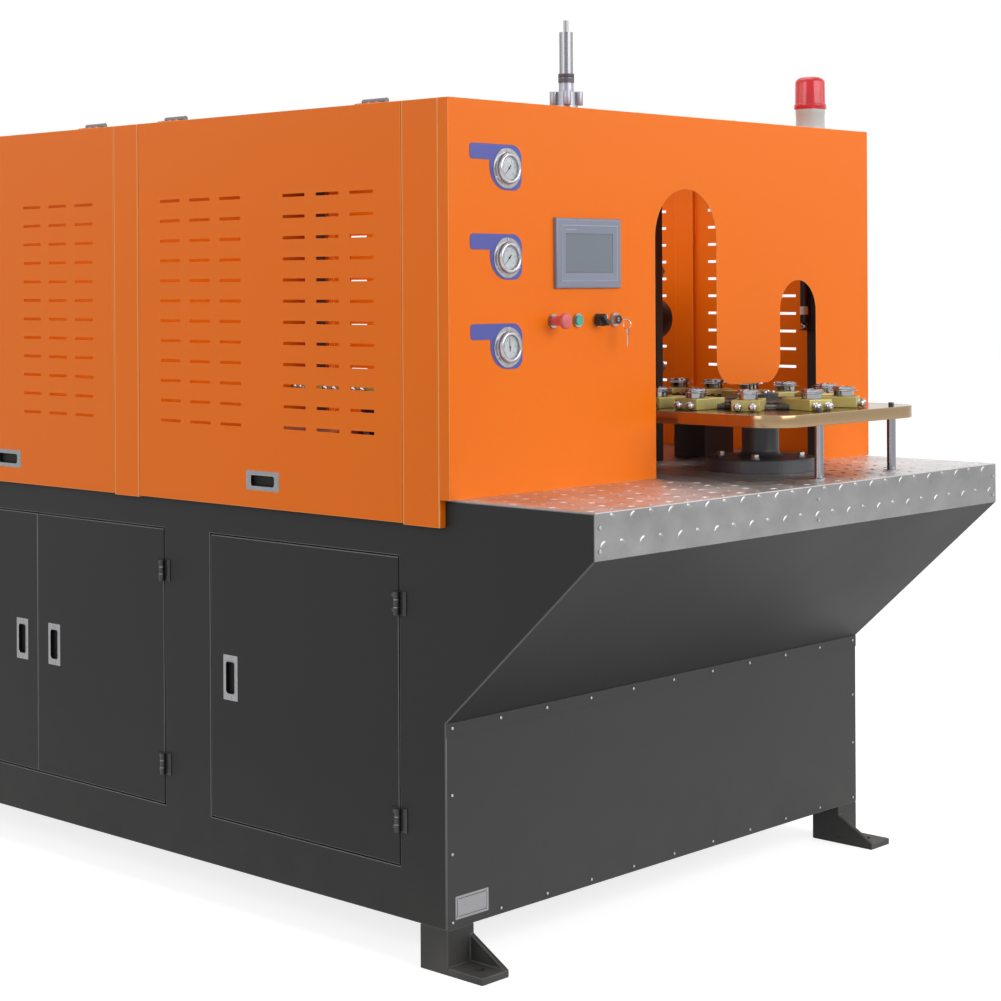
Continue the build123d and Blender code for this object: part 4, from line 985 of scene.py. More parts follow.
# Pedestals: cast iron, blackened and oiled: a round foot with a filleted column, a turned head
# under the plate and the wheel's axle above it, held by hexagon bolts round the foot.
oiled_iron = coated(
    "oiled_iron", (0.052, 0.056, 0.068), clouds=0.3, grain=0.0016, relief=0.00012, roughness=0.4,
    spread=0.2, specular=0.5,
)
chain_x = 0.239
front_wheel_y = -0.9735
rear_wheel_y = 0.3465
pedestal_low, pedestal_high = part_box("pedestals")
pedestal_feet = ((front_wheel_y, table_high.z), (rear_wheel_y, pedestal_low.z))
foot_radius = 0.13
foot_top = 0.032
fillet = 0.018
fillet_x = 0.062
column_radius = 0.044
head_radius = 0.0675
head_depth = 0.012
spigot_radius = 0.03
axle_radius = 0.02
pedestal_bm = bmesh.new()
for wheel_y, foot_z in pedestal_feet:
    head_z = plate_low.z - foot_z
    plate_z = plate_high.z - foot_z
    axle_z = pedestal_high.z - foot_z
    profile = [(0, 0), (foot_radius - 0.001, 0), (foot_radius, 0.001)]
    profile += [(foot_radius, foot_top - 0.004), (foot_radius - 0.0015, foot_top - 0.001)]
    profile.append((foot_radius - 0.004, foot_top))
    for step in range(6):
        angle = radians(90 + 18 * step)
        fillet_z = foot_top + fillet - fillet * sin(angle)
        profile.append((fillet_x + fillet * cos(angle), fillet_z))
    profile += [(column_radius, head_z - head_depth), (head_radius - 0.001, head_z - head_depth)]
    profile += [(head_radius, head_z - head_depth + 0.001), (head_radius, head_z)]
    profile += [(spigot_radius, head_z), (spigot_radius, plate_z), (axle_radius, plate_z)]
    profile += [(axle_radius, axle_z - 0.001), (axle_radius - 0.001, axle_z), (0, axle_z)]
    place(pedestal_bm, turned(profile, 72), at(chain_x, wheel_y, foot_z))
pedestal_piece = add_piece(
    pedestal_bm, "pedestal_castings", oiled_iron, "frame", flat_from=None
)
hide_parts("pedestals")


def hex_bolt(width, height):
    """A hexagon bolt head about Z on a washer, its corners turned off."""
    corner = width / 2 / cos(pi / 6)
    washer_top = 0.002
    washer_radius = width * 0.68
    bm = bmesh.new()
    bmesh.ops.create_cone(
        bm, cap_ends=True, segments=6, radius1=corner, radius2=corner, depth=height
    )
    bmesh.ops.translate(bm, vec=(0, 0, height / 2 + washer_top), verts=bm.verts)
    rim = [edge for edge in bm.edges if all(vert.co.z > height for vert in edge.verts)]
    bevel(bm, rim, width * 0.06)
    washer_profile = (
        (0, 0),
        (washer_radius, 0),
        (washer_radius, 0.0016),
        (width * 0.64, washer_top),
        (0, washer_top),
    )
    bm.from_mesh(turned(washer_profile, 24))
    return as_mesh(bm, "hex_bolt")


foot_bolt = hex_bolt(0.017, 0.009)
bolt_circle = 0.095
first_bolt = 29
bolt_bm = bmesh.new()
for wheel_y, foot_z in pedestal_feet:
    for step in range(4):
        angle = radians(90 * step + first_bolt)
        bolt_x = chain_x + bolt_circle * cos(angle)
        bolt_y = wheel_y + bolt_circle * sin(angle)
        place(bolt_bm, foot_bolt, at(bolt_x, bolt_y, foot_z + foot_top))
bolt_steel = worked(
    "bolt_steel", (0.3, 0.29, 0.28), grain=(200, 200, 200), streaks=0.4, relief=0.00004,
    roughness=0.32, spread=0.2, smudge=50,
)
add_piece(bolt_bm, "pedestal_bolts", bolt_steel, "frame")

# Feed housing: a black sheet-metal box on the bed behind the pedestal, with a lid over its rim.
housing_place = at(0.506, -0.597, 0.979)
housing_bm = placed(
    (block_shape((0.12, 0.1, 0.088), 0.0015), housing_place @ at(0, 0, 0.044)),
    (block_shape((0.124, 0.104, 0.004), 0.0012), housing_place @ at(0, 0, 0.09)),
)
housing_coat = coated(
    "housing_coat", (0.075, 0.08, 0.095), clouds=0.2, grain=0.0012, relief=0.00006, roughness=0.4,
    spread=0.2,
)
add_piece(housing_bm, "feed_housing", housing_coat, "frame")

# Chain of carriers: yellow-plated blocks on dark links, each with two ball-headed clamp nuts
# on its nose and a polished neck mandrel. Two wheels carry the chain round.
chain_pitch = 0.11
link_angle = 45
chain_phase = 28
chain_run = chain_pitch * chain_phase / link_angle
link_line = chain_pitch / 2 / tan(radians(link_angle / 2))
strand_links = 12
carrier_z = 1.1324
block_width = 0.065
block_length = 0.106
block_height = 0.026
block_inner = -0.008
link_z = 0.0068
cheek_turn = 0.5
pin_y = 0.044
nut_y = 0.0172
nut_z = 0.0105
mandrel_reach = 0.063
block_zinc = worked(
    "block_zinc", (0.52, 0.46, 0.16), grain=(40, 40, 40), streaks=0.3, relief=0.00006,
    roughness=0.46, spread=0.2, smudge=30, metallic=0.35,
)
link_steel = worked(
    "link_steel", (0.075, 0.065, 0.064), grain=(60, 60, 60), streaks=0.4, relief=0.00006,
    roughness=0.3, spread=0.2, smudge=30,
)
mandrel_polish = worked(
    "mandrel_polish", (0.36, 0.36, 0.38), grain=(24, 24, 24), streaks=0.25, relief=0.00001,
    roughness=0.12, spread=0.06, smudge=40,
)
wheel_iron = coated(
    "wheel_iron", (0.028, 0.029, 0.031), clouds=0.3, grain=0.0014, relief=0.00008, roughness=0.4,
    spread=0.2,
)
carrier_block = block_shape((block_length, block_width, block_height), 0.0022)
carrier_link = block_shape((0.015, chain_pitch - 0.011, 0.013), 0.0025)
carrier_cheek = block_shape((0.012, 0.05, 0.011), 0.0015)
link_pin = turned(((0, 0), (0.0045, 0), (0.0045, 0.0156), (0.0036, 0.0164), (0, 0.0164)), 16)
ball_nut = turned(
    (
        (0, 0),
        (0.0086, 0),
        (0.0086, 0.0023),
        (0.0067, 0.0034),
        (0.0067, 0.0052),
        (0.009, 0.0071),
        (0.0099, 0.0101),
        (0.0087, 0.0133),
        (0.006, 0.0156),
        (0.003, 0.0163),
        (0.0028, 0.0147),
        (0, 0.0147),
    ),
    20,
)
mandrel = turned(
    (
        (0, 0),
        (0.0226, 0),
        (0.0235, 0.0009),
        (0.0235, 0.0116),
        (0.0226, 0.0124),
        (0.0332, 0.0127),
        (0.034, 0.0132),
        (0.034, 0.014),
        (0.0332, 0.0146),
        (0.0236, 0.0148),
        (0.0236, 0.0164),
        (0.0284, 0.0167),
        (0.029, 0.0172),
        (0.029, 0.0178),
        (0.0284, 0.0183),
        (0.0252, 0.0185),
        (0.025, 0.0214),
        (0.0243, 0.0222),
        (0.0165, 0.0222),
        (0.0158, 0.0216),
        (0.0158, 0.018),
        (0, 0.018),
    ),
    36,
)


def carrier_set(name, places, body, replaced):
    """The blocks, links, nuts and mandrels of one run of carriers, which move as one body."""
    block_bm, link_bm, nut_bm, mandrel_bm = (bmesh.new() for _ in range(4))
    for spot in places:
        block_place = at(block_inner + block_length / 2, 0, block_height / 2)
        place(block_bm, carrier_block, spot @ block_place)
        place(link_bm, carrier_link, spot @ at(0, 0, link_z))
        for side in (-1, 1):
            lean = Matrix.Rotation(side * cheek_turn, 4, "Z")
            place(link_bm, carrier_cheek, spot @ at(0.012, side * 0.0385, 0.006) @ lean)
            place(link_bm, link_pin, spot @ at(0, side * pin_y, 0))
            nut_place = at(block_inner + block_length, side * nut_y, nut_z) @ facing_right
            place(nut_bm, ball_nut, spot @ nut_place)
        place(mandrel_bm, mandrel, spot @ at(mandrel_reach, 0, block_height))
    blocks = add_piece(block_bm, f"{name}_blocks", block_zinc, body)
    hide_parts(*replaced)
    add_piece(link_bm, f"{name}_links", link_steel, body)
    add_piece(nut_bm, f"{name}_ball_nuts", bright_chrome, body)
    add_piece(mandrel_bm, f"{name}_necks", mandrel_polish, body)


def wheel_places(wheel_y, start):
    """Where a wheel's links lie, as sides of the polygon that the chain makes round half of it."""
    centre = at(chain_x, wheel_y, carrier_z)
    turns = [Matrix.Rotation(radians(start + link_angle * link), 4, "Z") for link in range(4)]
    return [centre @ turn @ at(link_line, 0, 0) for turn in turns]


def strand_places(side, first_y):
    """Where the links of a straight strand lie, a pitch apart."""
    turn = Matrix.Rotation(0 if side > 0 else pi, 4, "Z")
    strand_x = chain_x + side * link_line
    strand_ys = [first_y + link * chain_pitch for link in range(strand_links)]
    return [at(strand_x, link_y, carrier_z) @ turn for link_y in strand_ys]


right_places = strand_places(1, front_wheel_y + chain_run)
left_places = strand_places(-1, front_wheel_y + chain_pitch - chain_run)
front_places = wheel_places(front_wheel_y, 180 + chain_phase)
rear_places = wheel_places(rear_wheel_y, chain_phase)
carrier_set("front_wheel", front_places, "front_wheel", ("front_carriers", "front_mandrels"))
carrier_set("right_strand", right_places, "right_strand", ("right_carriers",))
carrier_set("left_strand", left_places, "left_strand", ("left_carriers",))
carrier_set("rear_wheel", rear_places, "rear_wheel", ("rear_wheel",))

# Chain wheels: cast discs with a raised hub and a bolt circle, turning on the pedestals' axles.
wheel_radius = link_line - 0.0083
hub_top = 0.032
hub_circle = 0.03
wheel_disc = turned(
    (
        (0.0202, 0),
        (wheel_radius - 0.001, 0),
        (wheel_radius, 0.001),
        (wheel_radius, 0.015),
        (wheel_radius - 0.002, 0.017),
        (0.088, 0.017),
        (0.084, 0.0125),
        (0.052, 0.0125),
        (0.047, 0.017),
        (0.0402, 0.018),
        (0.04, 0.03),
        (0.038, hub_top),
        (0.0202, hub_top),
        (0.0202, 0),
    ),
    64,
)
hub_screw = socket_screw(0.0045, 0.005, 0.0022)
for wheel_name, wheel_y in (("front_wheel", front_wheel_y), ("rear_wheel", rear_wheel_y)):
    wheel_bm = placed((wheel_disc, at(chain_x, wheel_y, carrier_z)))
    wheel_piece = add_piece(wheel_bm, f"{wheel_name}_disc", wheel_iron, wheel_name)
    if wheel_name == "front_wheel":
        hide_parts("front_wheel")
    hub_bm = bmesh.new()
    for step in range(6):
        angle = radians(60 * step)
        screw_x = chain_x + hub_circle * cos(angle)
        screw_y = wheel_y + hub_circle * sin(angle)
        place(hub_bm, hub_screw, at(screw_x, screw_y, carrier_z + hub_top))
    add_piece(hub_bm, f"{wheel_name}_hub_screws", bright_zinc, wheel_name)

# Blow station: two thick black end plates and a bridge, ground tie bars with nuts, and clamp
# cylinders of black anodised aluminium.
station_black = coated(
    "station_black", (0.028, 0.028, 0.03), clouds=0.2, grain=0.001, relief=0.00006, roughness=0.42,
    spread=0.16,
)
rounded_sheet(
    "clamp_plates", "frame", station_black, radius=0.0015, shortest=0.02
)
# The tie bars wear the same streaked finish with its painted reflection bands.
dress(ground_bar_reflection_streaks, "tie_bars")
milled_alloy = worked(
    "milled_alloy", (0.5, 0.5, 0.52), grain=(20, 260, 260), streaks=0.16, relief=0.00003,
    roughness=0.3, spread=0.14, smudge=18,
)
anodised = worked(
    "black_anodised", (0.05, 0.05, 0.055), grain=(60, 60, 60), streaks=0.2, relief=0.00003,
    roughness=0.34, spread=0.14, smudge=18,
)
rounded_sheet(
    "clamp_cylinders", "frame", anodised, radius=0.0015, shortest=0.001
)
bars_low, bars_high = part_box("tie_bars")
bar_radius = 0.0125
tie_nut = hex_bolt(0.03, 0.014)
tie_bm = bmesh.new()
plates_low, plates_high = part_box("clamp_plates")
for bar_y in (bars_low.y + bar_radius, bars_high.y - bar_radius):
    for bar_z in (bars_low.z + bar_radius, bars_high.z - bar_radius):
        place(tie_bm, tie_nut, at(plates_low.x, bar_y, bar_z) @ facing_left)
        place(tie_bm, tie_nut, at(plates_high.x, bar_y, bar_z) @ facing_right)
add_piece(tie_bm, "tie_bar_nuts", bright_zinc, "frame")

# Mould halves: milled aluminium blocks on the tie bars, with half of a bottle sunk into each
# and coolant fittings on the front.
fitting = turned(
    ((0.0085, 0), (0.0085, 0.004), (0.0055, 0.006), (0.0055, 0.016), (0.004, 0.018), (0, 0.018)),
    20,
)
fitting_off_face = 0.03
fitting_off_end = 0.07
for mould, mould_side in (("left_mould", -1), ("right_mould", 1)):
    rounded_sheet(mould, mould, milled_alloy, radius=0.0015, shortest=0.03)
    mould_low, mould_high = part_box(mould)
    fitting_bm = bmesh.new()
    mould_face = mould_high.x if mould_side < 0 else mould_low.x
    mould_x = mould_face + mould_side * fitting_off_face
    for fitting_z in (mould_low.z + fitting_off_end, mould_high.z - fitting_off_end):
        place(fitting_bm, fitting, at(mould_x, mould_low.y, fitting_z) @ facing_front)
    add_piece(fitting_bm, f"{mould}_fittings", bright_zinc, mould)

# Base mould cylinder: an aluminium barrel whose four-lobed cap stands above the roof, under a
# plain seal boss. Its chromed rod carries a rubber-edged stop collar and a thin tip.
cast_alloy = worked(
    "cast_alloy", (0.31, 0.325, 0.37), grain=(130, 130, 8), streaks=0.35, relief=0.00003,
    roughness=0.42, spread=0.16, smudge=30, metallic=0.8,
)
rounded_sheet(
    "base_cylinder", "frame", cast_alloy, radius=0.0012, shortest=0.0005
)
rod_chrome = worked(
    "rod_chrome", (0.22, 0.22, 0.235), grain=(40, 40, 2), streaks=0.25, relief=0.00001,
    roughness=0.24, spread=0.06, smudge=12,
)
dress(rod_chrome, "base_rod")
cylinder_x = 0.0432
cylinder_y = -0.5385
cap_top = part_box("base_cylinder")[1].z
bore_radius = 0.0168
seal_top = 0.0215
rod_seal = turned(
    (
        (bore_radius, 0),
        (bore_radius, seal_top),
        (0.0175, seal_top),
        (0.018, seal_top - 0.001),
        (0.018, 0),
    ),
    32,
)
seal_bm = placed((rod_seal, at(cylinder_x, cylinder_y, cap_top)))
add_piece(seal_bm, "rod_seal", cast_alloy, "frame")
collar_rubber = coated(
    "collar_rubber", (0.07, 0.078, 0.1), clouds=0.2, grain=0.0009, relief=0.00004, roughness=0.45,
    spread=0.1,
)
collar_radius = 0.0196
collar_z = 1.9149
collar_shape = turned(
    (
        (bore_radius, 0),
        (0.0185, 0),
        (collar_radius, 0.0015),
        (collar_radius, 0.0095),
        (0.0188, 0.011),
        (collar_radius, 0.0125),
        (collar_radius, 0.0208),
        (0.0185, 0.0222),
        (bore_radius, 0.0222),
    ),
    40,
)
collar_bm = placed((collar_shape, at(cylinder_x, cylinder_y, collar_z)))
add_piece(collar_bm, "stop_collar", collar_rubber, "base_rod")

# Heating tunnel: zinc-plated reflector channels on feet, with a column of quartz lamps that
# end in white ceramic caps.
tunnel_zinc = worked(
    "tunnel_zinc", (0.46, 0.42, 0.22), grain=(12, 12, 60), streaks=0.2, relief=0.00005,
    roughness=0.34, spread=0.2, smudge=12,
)
rounded_sheet(
    "oven_panels", "frame", tunnel_zinc, radius=0.0008, shortest=0.02
)
lamp_quartz = coated(
    "lamp_quartz", (0.82, 0.82, 0.8), clouds=0.1, grain=0.002, relief=0.00002, roughness=0.12,
    spread=0.1, transmission=0.7,
)
dress(lamp_quartz, "oven_lamps")
lamp_ceramic = coated(
    "lamp_ceramic", (0.72, 0.71, 0.68), clouds=0.08, grain=0.0007, relief=0.00005, roughness=0.6,
    spread=0.1,
)
lamps_low, lamps_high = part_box("oven_lamps")
lamp_radius = 0.005
lamp_rows = 6
lamp_span = lamps_high.z - lamps_low.z - 2 * lamp_radius
lamp_x = (lamps_low.x + lamps_high.x) / 2
cap_length = 0.022
cap_edge = cap_length - 0.001
lamp_cap = turned(
    (
        (0, 0),
        (0.0068, 0),
        (0.0075, 0.001),
        (0.0075, cap_edge),
        (0.0068, cap_length),
        (0, cap_length),
    ),
    16,
)
lamp_bm = bmesh.new()
for lamp in range(lamp_rows):
    lamp_z = lamps_low.z + lamp_radius + lamp * lamp_span / (lamp_rows - 1)
    for cap_y in (lamps_low.y + cap_length, lamps_high.y):
        place(lamp_bm, lamp_cap, at(lamp_x, cap_y, lamp_z) @ facing_front)
add_piece(lamp_bm, "lamp_caps", lamp_ceramic, "frame")

# Frame inside the covers: black square tube, welded. Gas struts for the lifting doors stand
# between brackets beside its posts.
frame_black = coated(
    "frame_black", (0.03, 0.03, 0.032), clouds=0.2, grain=0.0012, relief=0.0001, roughness=0.42,
    spread=0.2, dust=0.1, dust_top=1.3,
)
inner_frame = rounded_sheet(
    "inner_frame", "frame", frame_black, radius=0.003, shortest=0.02
)
strut_label = coated(
    "strut_label", (0.7, 0.7, 0.68), clouds=0.1, grain=0.001, relief=0.00002, roughness=0.5,
    spread=0.1,
)
strut_x = 0.672
strut_z = 1.32
tube_radius = 0.0102
tube_length = 0.262
rod_end = 0.44
ball_off_end = 0.008
strut_tube = turned(
    (
        (0, 0),
        (0.009, 0),
        (tube_radius, 0.0015),
        (tube_radius, tube_length - 0.004),
        (0.009, tube_length),
        (0.004, tube_length),
    ),
    24,
)
strut_rod = turned(((0.0041, tube_length), (0.0041, rod_end), (0, rod_end)), 16)
strut_band = turned(
    ((tube_radius, 0.022), (0.0104, 0.0222), (0.0104, 0.0428), (tube_radius, 0.043)), 24
)
strut_ball = turned(
    ((0, -0.009), (0.005, -0.0075), (0.0085, -0.003), (0.0085, 0.003), (0.005, 0.0075), (0, 0.009)),
    20,
)
strut_bracket = block_shape((0.03, 0.02, 0.003), 0.0008)
for side in (-1, 1):
    for strut_index, strut_y in enumerate((-0.795, 0.045, 0.155, 1.10)):
        strut_low = at(side * strut_x, strut_y, strut_z)
        tube_bm = placed((strut_tube, strut_low))
        rod_bm = placed((strut_rod, strut_low))
        label_bm = placed((strut_band, strut_low))
        for end, ball_z in ((-1, -ball_off_end), (1, rod_end + ball_off_end)):
            place(rod_bm, strut_ball, strut_low @ at(0, 0, ball_z))
            bracket_place = at(side * 0.008, 0, ball_z + end * 0.009)
            place(tube_bm, strut_bracket, strut_low @ bracket_place)
        strut_name = f"{'left' if side < 0 else 'right'}_strut_{strut_index + 1}"
        add_piece(tube_bm, f"{strut_name}_tube", screw_black, "frame")
        add_piece(rod_bm, f"{strut_name}_rod", bright_chrome, "frame")
        add_piece(label_bm, f"{strut_name}_band", strut_label, "frame")

# Covers: 2 mm sheet trays in glossy orange powder coat: front and rear panels, roof, posts and
# the slotted lifting doors with their pressed pulls. The middle posts inside wear the same coat.
# The posts' borders are folded over into thin round hems, and the hems and the rounded folds of the
# covers are painted a lighter orange as a painted highlight.
orange_coat = coated(
    "orange_coat", (0.94, 0.185, 0.003), clouds=0.05, grain=0.0016, relief=0.00003, roughness=0.36,
    spread=0.1, specular=0.22,
)
middle_post_front, middle_post_rear, middle_post_top = 0.12, 0.19, 1.75
inner_frame.data.materials.append(orange_coat)
for polygon in inner_frame.data.polygons:
    in_post = middle_post_front < polygon.center.y < middle_post_rear
    if in_post and polygon.center.z < middle_post_top:
        polygon.material_index = 1
# A lighter orange for the rounded folds and the post hems: painted highlight.
orange_edge_highlight = coated(
    "orange_coat_highlight", (1.0, 0.42, 0.12), clouds=0.05, grain=0.0016, relief=0.00003,
    roughness=0.36, spread=0.1, specular=0.3,
)
for cover_node, fold_radius, shortest_fold in (
    ("front_panel", 0.0009, 0.0),
    ("rear_panel", 0.0009, 0.05),
    ("roof_panel", 0.0009, 0.05),
    ("side_posts", 0.0018, 0.05),
):
    rounded_sheet(
        cover_node,
        "frame",
        orange_coat,
        orange_edge_highlight,
        radius=fold_radius,
        shortest=shortest_fold,
    )
hem_radius = 0.002
hem_flat = 0.0014
hem_end = 0.0006
hem_inset = 0.0013
hem_gap = 0.0005
post_borders = (-0.8978, -0.7932, 0.1092, 0.1998, 1.1022)
post_low, post_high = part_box("side_posts")
hem_length = post_high.z - post_low.z - 2 * hem_gap
post_hem = turned(
    (
        (0, 0),
        (hem_flat, 0),
        (hem_radius, hem_end),
        (hem_radius, hem_length - hem_end),
        (hem_flat, hem_length),
        (0, hem_length),
    ),
    12,
)
hem_bm = bmesh.new()
for hem_y in post_borders:
    for hem_x in (post_low.x + hem_inset, post_high.x - hem_inset):
        place(hem_bm, post_hem, at(hem_x, hem_y, post_low.z + hem_gap))
add_piece(hem_bm, "post_folds", orange_edge_highlight, "frame")
for side_name, outward in (("left", -1), ("right", 1)):
    for bay in ("front", "rear"):
        lift_door = f"{side_name}_{bay}_lift_door"
        rounded_sheet(
            lift_door,
            lift_door,
            orange_coat,
            orange_edge_highlight,
            radius=0.0009,
            shortest=0.1,
        )
        pull_handle(f"{side_name}_{bay}_pull", lift_door, outward)

# Roof hinges: pressed steel, painted pale grey, with three screws through each leaf.
hinge_grey = coated(
    "hinge_grey", (0.2, 0.21, 0.22), clouds=0.15, grain=0.001, relief=0.00005, roughness=0.4,
    spread=0.2,
)
dress(hinge_grey, "roof_hinges")
roof_screw = pan_head(0.0042, 0.0016)
hinge_off_middle = 0.34
screw_pitch = 0.024
leaf_top = 1.811
roof_leaf_x, door_leaf_x = 0.7175, 0.7525
roof_screw_bm = bmesh.new()
for side_name, outward in (("left", -1), ("right", 1)):
    for bay in ("front", "rear"):
        lift_door = f"{side_name}_{bay}_lift_door"
        door_low, door_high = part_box(lift_door)
        door_screw_bm = bmesh.new()
        for offset in (-hinge_off_middle, hinge_off_middle):
            hinge_y = (door_low.y + door_high.y) / 2 + offset
            for screw_y in (hinge_y - screw_pitch, hinge_y, hinge_y + screw_pitch):
                place(roof_screw_bm, roof_screw, at(outward * roof_leaf_x, screw_y, leaf_top))
                place(door_screw_bm, roof_screw, at(outward * door_leaf_x, screw_y, leaf_top))
        screws_name = f"{lift_door}_hinge_screws"
        add_piece(door_screw_bm, screws_name, bright_zinc, lift_door)
add_piece(roof_screw_bm, "roof_hinge_screws", bright_zinc, "frame")

# Label strips: thin blue plastic plates behind the gauges, with a lobe round each gauge, left
# bare of words.
panel_y = -0.9285
gauge_x = -0.588
gauge_heights = (1.668, 1.48, 1.292)
label_blue = coated(
    "label_blue", (0.07, 0.082, 0.37), clouds=0.08, grain=0.0015, relief=0.00002, roughness=0.38,
    spread=0.1,
)
label_outline = (
    (-0.113, 0.017),
    (-0.053, 0.017),
    (-0.053, -0.046),
    (0.045, -0.046),
    (0.045, 0.05),
    (-0.113, 0.05),
)
label_shape = plate_shape(label_outline, 0.0009, (0.008, 0, 0.05, 0.024, 0.028, 0.008), 0.0002, 10)
gauge_places = [at(gauge_x, panel_y, gauge_z) @ facing_front for gauge_z in gauge_heights]
label_bm = placed(*((label_shape, gauge_place) for gauge_place in gauge_places))
add_piece(label_bm, "gauge_labels", label_blue, "frame")

# Pressure gauges: stainless flanged cases with a stepped bezel, held by three small screws,
# and a white enamelled dial under glass.
case_steel = worked(
    "gauge_steel", (0.4, 0.4, 0.42), grain=(70, 70, 70), streaks=0.6, relief=0.00001,
    roughness=0.16, spread=0.12, smudge=30,
)
gauge_case = turned(
    (
        (0.031, -0.03),
        (0.031, 0),
        (0.0425, 0),
        (0.043, 0.0008),
        (0.043, 0.0022),
        (0.0422, 0.003),
        (0.0347, 0.003),
        (0.0338, 0.004),
        (0.0334, 0.0095),
        (0.0322, 0.0124),
        (0.0302, 0.0138),
        (0.0278, 0.014),
        (0.0256, 0.0132),
        (0.0246, 0.0118),
        (0.0246, 0.0046),
        (0, 0.0044),
        (0, -0.03),
        (0.031, -0.03),
    ),
    56,
)
bodies_bm = placed(*((gauge_case, gauge_place) for gauge_place in gauge_places))
bodies_piece = add_piece(bodies_bm, "gauge_bodies", case_steel, "frame")
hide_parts("gauge_cases")
flange_screw = pan_head(0.0026, 0.0015)
flange_top = 0.003
flange_circle = 0.0395
flange_bm = bmesh.new()
for gauge_place in gauge_places:
    for angle in (90, 210, 330):
        screw_x = flange_circle * cos(radians(angle))
        screw_y = flange_circle * sin(radians(angle))
        place(flange_bm, flange_screw, gauge_place @ at(screw_x, screw_y, flange_top))
add_piece(flange_bm, "gauge_flange_screws", bright_zinc, "frame")

gauge_glass = coated(
    "gauge_glass", (0.96, 0.98, 0.98), clouds=0.01, grain=0.004, relief=0.00001, roughness=0.03,
    spread=0.02, transmission=1.0,
)
gauge_glass.node_tree.nodes["Principled BSDF"].inputs["IOR"].default_value = 1.45
gauge_lens = turned(
    ((0, 0.0096), (0.0244, 0.0092), (0.0244, 0.0106), (0.015, 0.0114), (0, 0.0117)), 48
)
lens_bm = placed(*((gauge_lens, gauge_place) for gauge_place in gauge_places))
lens_piece = add_piece(lens_bm, "gauge_glasses", gauge_glass, "frame")
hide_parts("gauge_lenses")

# Dials: white, with a scale of ten divisions over three quarters of the round, plain numbers
# and a black pointer with a tail.
dial_white = coated(
    "dial_white", (0.6, 0.61, 0.65), clouds=0.03, grain=0.0006, relief=0.00001, roughness=0.45,
    spread=0.06,
)
dial_black = coated(
    "dial_black", (0.015, 0.015, 0.018), clouds=0.1, grain=0.0006, relief=0.00001, roughness=0.4,
    spread=0.1,
)
dial_lift = 0.0048
divisions = 50
number_circle = 0.0162
sweep_start = 225
sweep = 270
dial_disc = turned(((0.0245, 0), (0.0245, 0.0006), (0, 0.0006)), 48)
major_tick = block_shape((0.003, 0.0006, 0.0002), 0)
minor_tick = block_shape((0.0016, 0.0003, 0.0002), 0)


def number_shape(text, height):
    """A printed number as a thin flat mesh about the origin."""
    curve = bpy.data.curves.new("dial_number", "FONT")
    curve.body = text
    curve.size = height
    curve.align_x = "CENTER"
    curve.align_y = "CENTER"
    holder = bpy.data.objects.new("dial_number", curve)
    scene.collection.objects.link(holder)
    bpy.context.view_layer.update()
    depsgraph = bpy.context.evaluated_depsgraph_get()
    mesh = bpy.data.meshes.new_from_object(holder.evaluated_get(depsgraph))
    bpy.data.objects.remove(holder)
    return mesh


numbers = [number_shape(str(2 * step), 0.005) for step in range(6)]
disc_bm, print_bm, pointer_bm = bmesh.new(), bmesh.new(), bmesh.new()
needle_outline = ((-0.0085, -0.0016), (0.019, -0.0002), (0.019, 0.0002), (-0.0085, 0.0016))
needle = plate_shape(needle_outline, 0.0004, (0,) * 4)
pointer_hub = turned(((0.0024, 0), (0.0024, 0.001), (0.0019, 0.0015), (0, 0.0017)), 24)
for gauge_place, pointer_angle in zip(gauge_places, (229, 227, 93)):
    dial_place = gauge_place @ at(0, 0, dial_lift)
    place(disc_bm, dial_disc, dial_place)
    for division in range(divisions + 1):
        angle = radians(sweep_start - sweep * division / divisions)
        major = division % 5 == 0
        reach = 0.022 if major else 0.0227
        tick_place = Matrix.Rotation(angle, 4, "Z") @ at(reach, 0, 0.0007)
        place(print_bm, major_tick if major else minor_tick, dial_place @ tick_place)
    for step, number in enumerate(numbers):
        angle = radians(sweep_start - sweep * step / (len(numbers) - 1))
        number_x, number_y = number_circle * cos(angle), number_circle * sin(angle)
        place(print_bm, number, dial_place @ at(number_x, number_y, 0.00075))
    pointer_place = dial_place @ at(0, 0, 0.0012) @ Matrix.Rotation(radians(pointer_angle), 4, "Z")
    place(pointer_bm, needle, pointer_place)
    place(pointer_bm, pointer_hub, pointer_place)
add_piece(disc_bm, "gauge_dials", dial_white, "frame")
add_piece(print_bm, "gauge_scales", dial_black, "frame")
add_piece(pointer_bm, "gauge_pointers", dial_black, "frame")

# Operator panel: a blue-grey moulded case with a raised line round a sunken window, the line
# painted lighter as a painted highlight, and the dull film of a touch screen in it.
case_plastic = coated(
    "operator_case", (0.225, 0.245, 0.325), clouds=0.05, grain=0.0008, relief=0.00004,
    roughness=0.42, spread=0.08,
)
screen_low, screen_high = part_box("screen_case")
screen_x = (screen_low.x + screen_high.x) / 2
screen_z = (screen_low.z + screen_high.z) / 2
screen_width = 0.217
screen_height = screen_high.z - screen_low.z
screen_depth = 0.009
window_width = 0.157
window_height = 0.085
gasket = 0.0012
ridge_inset = 0.0145
case_outline = rectangle(screen_width, screen_height)
case_bm = bmesh.new()
case_bm.from_mesh(plate_shape(case_outline, screen_depth, (0,) * 4, 0.005))
window = max(
    case_bm.faces,
    key=lambda face: (round(face.calc_center_median().z, 6), face.calc_area()),
)
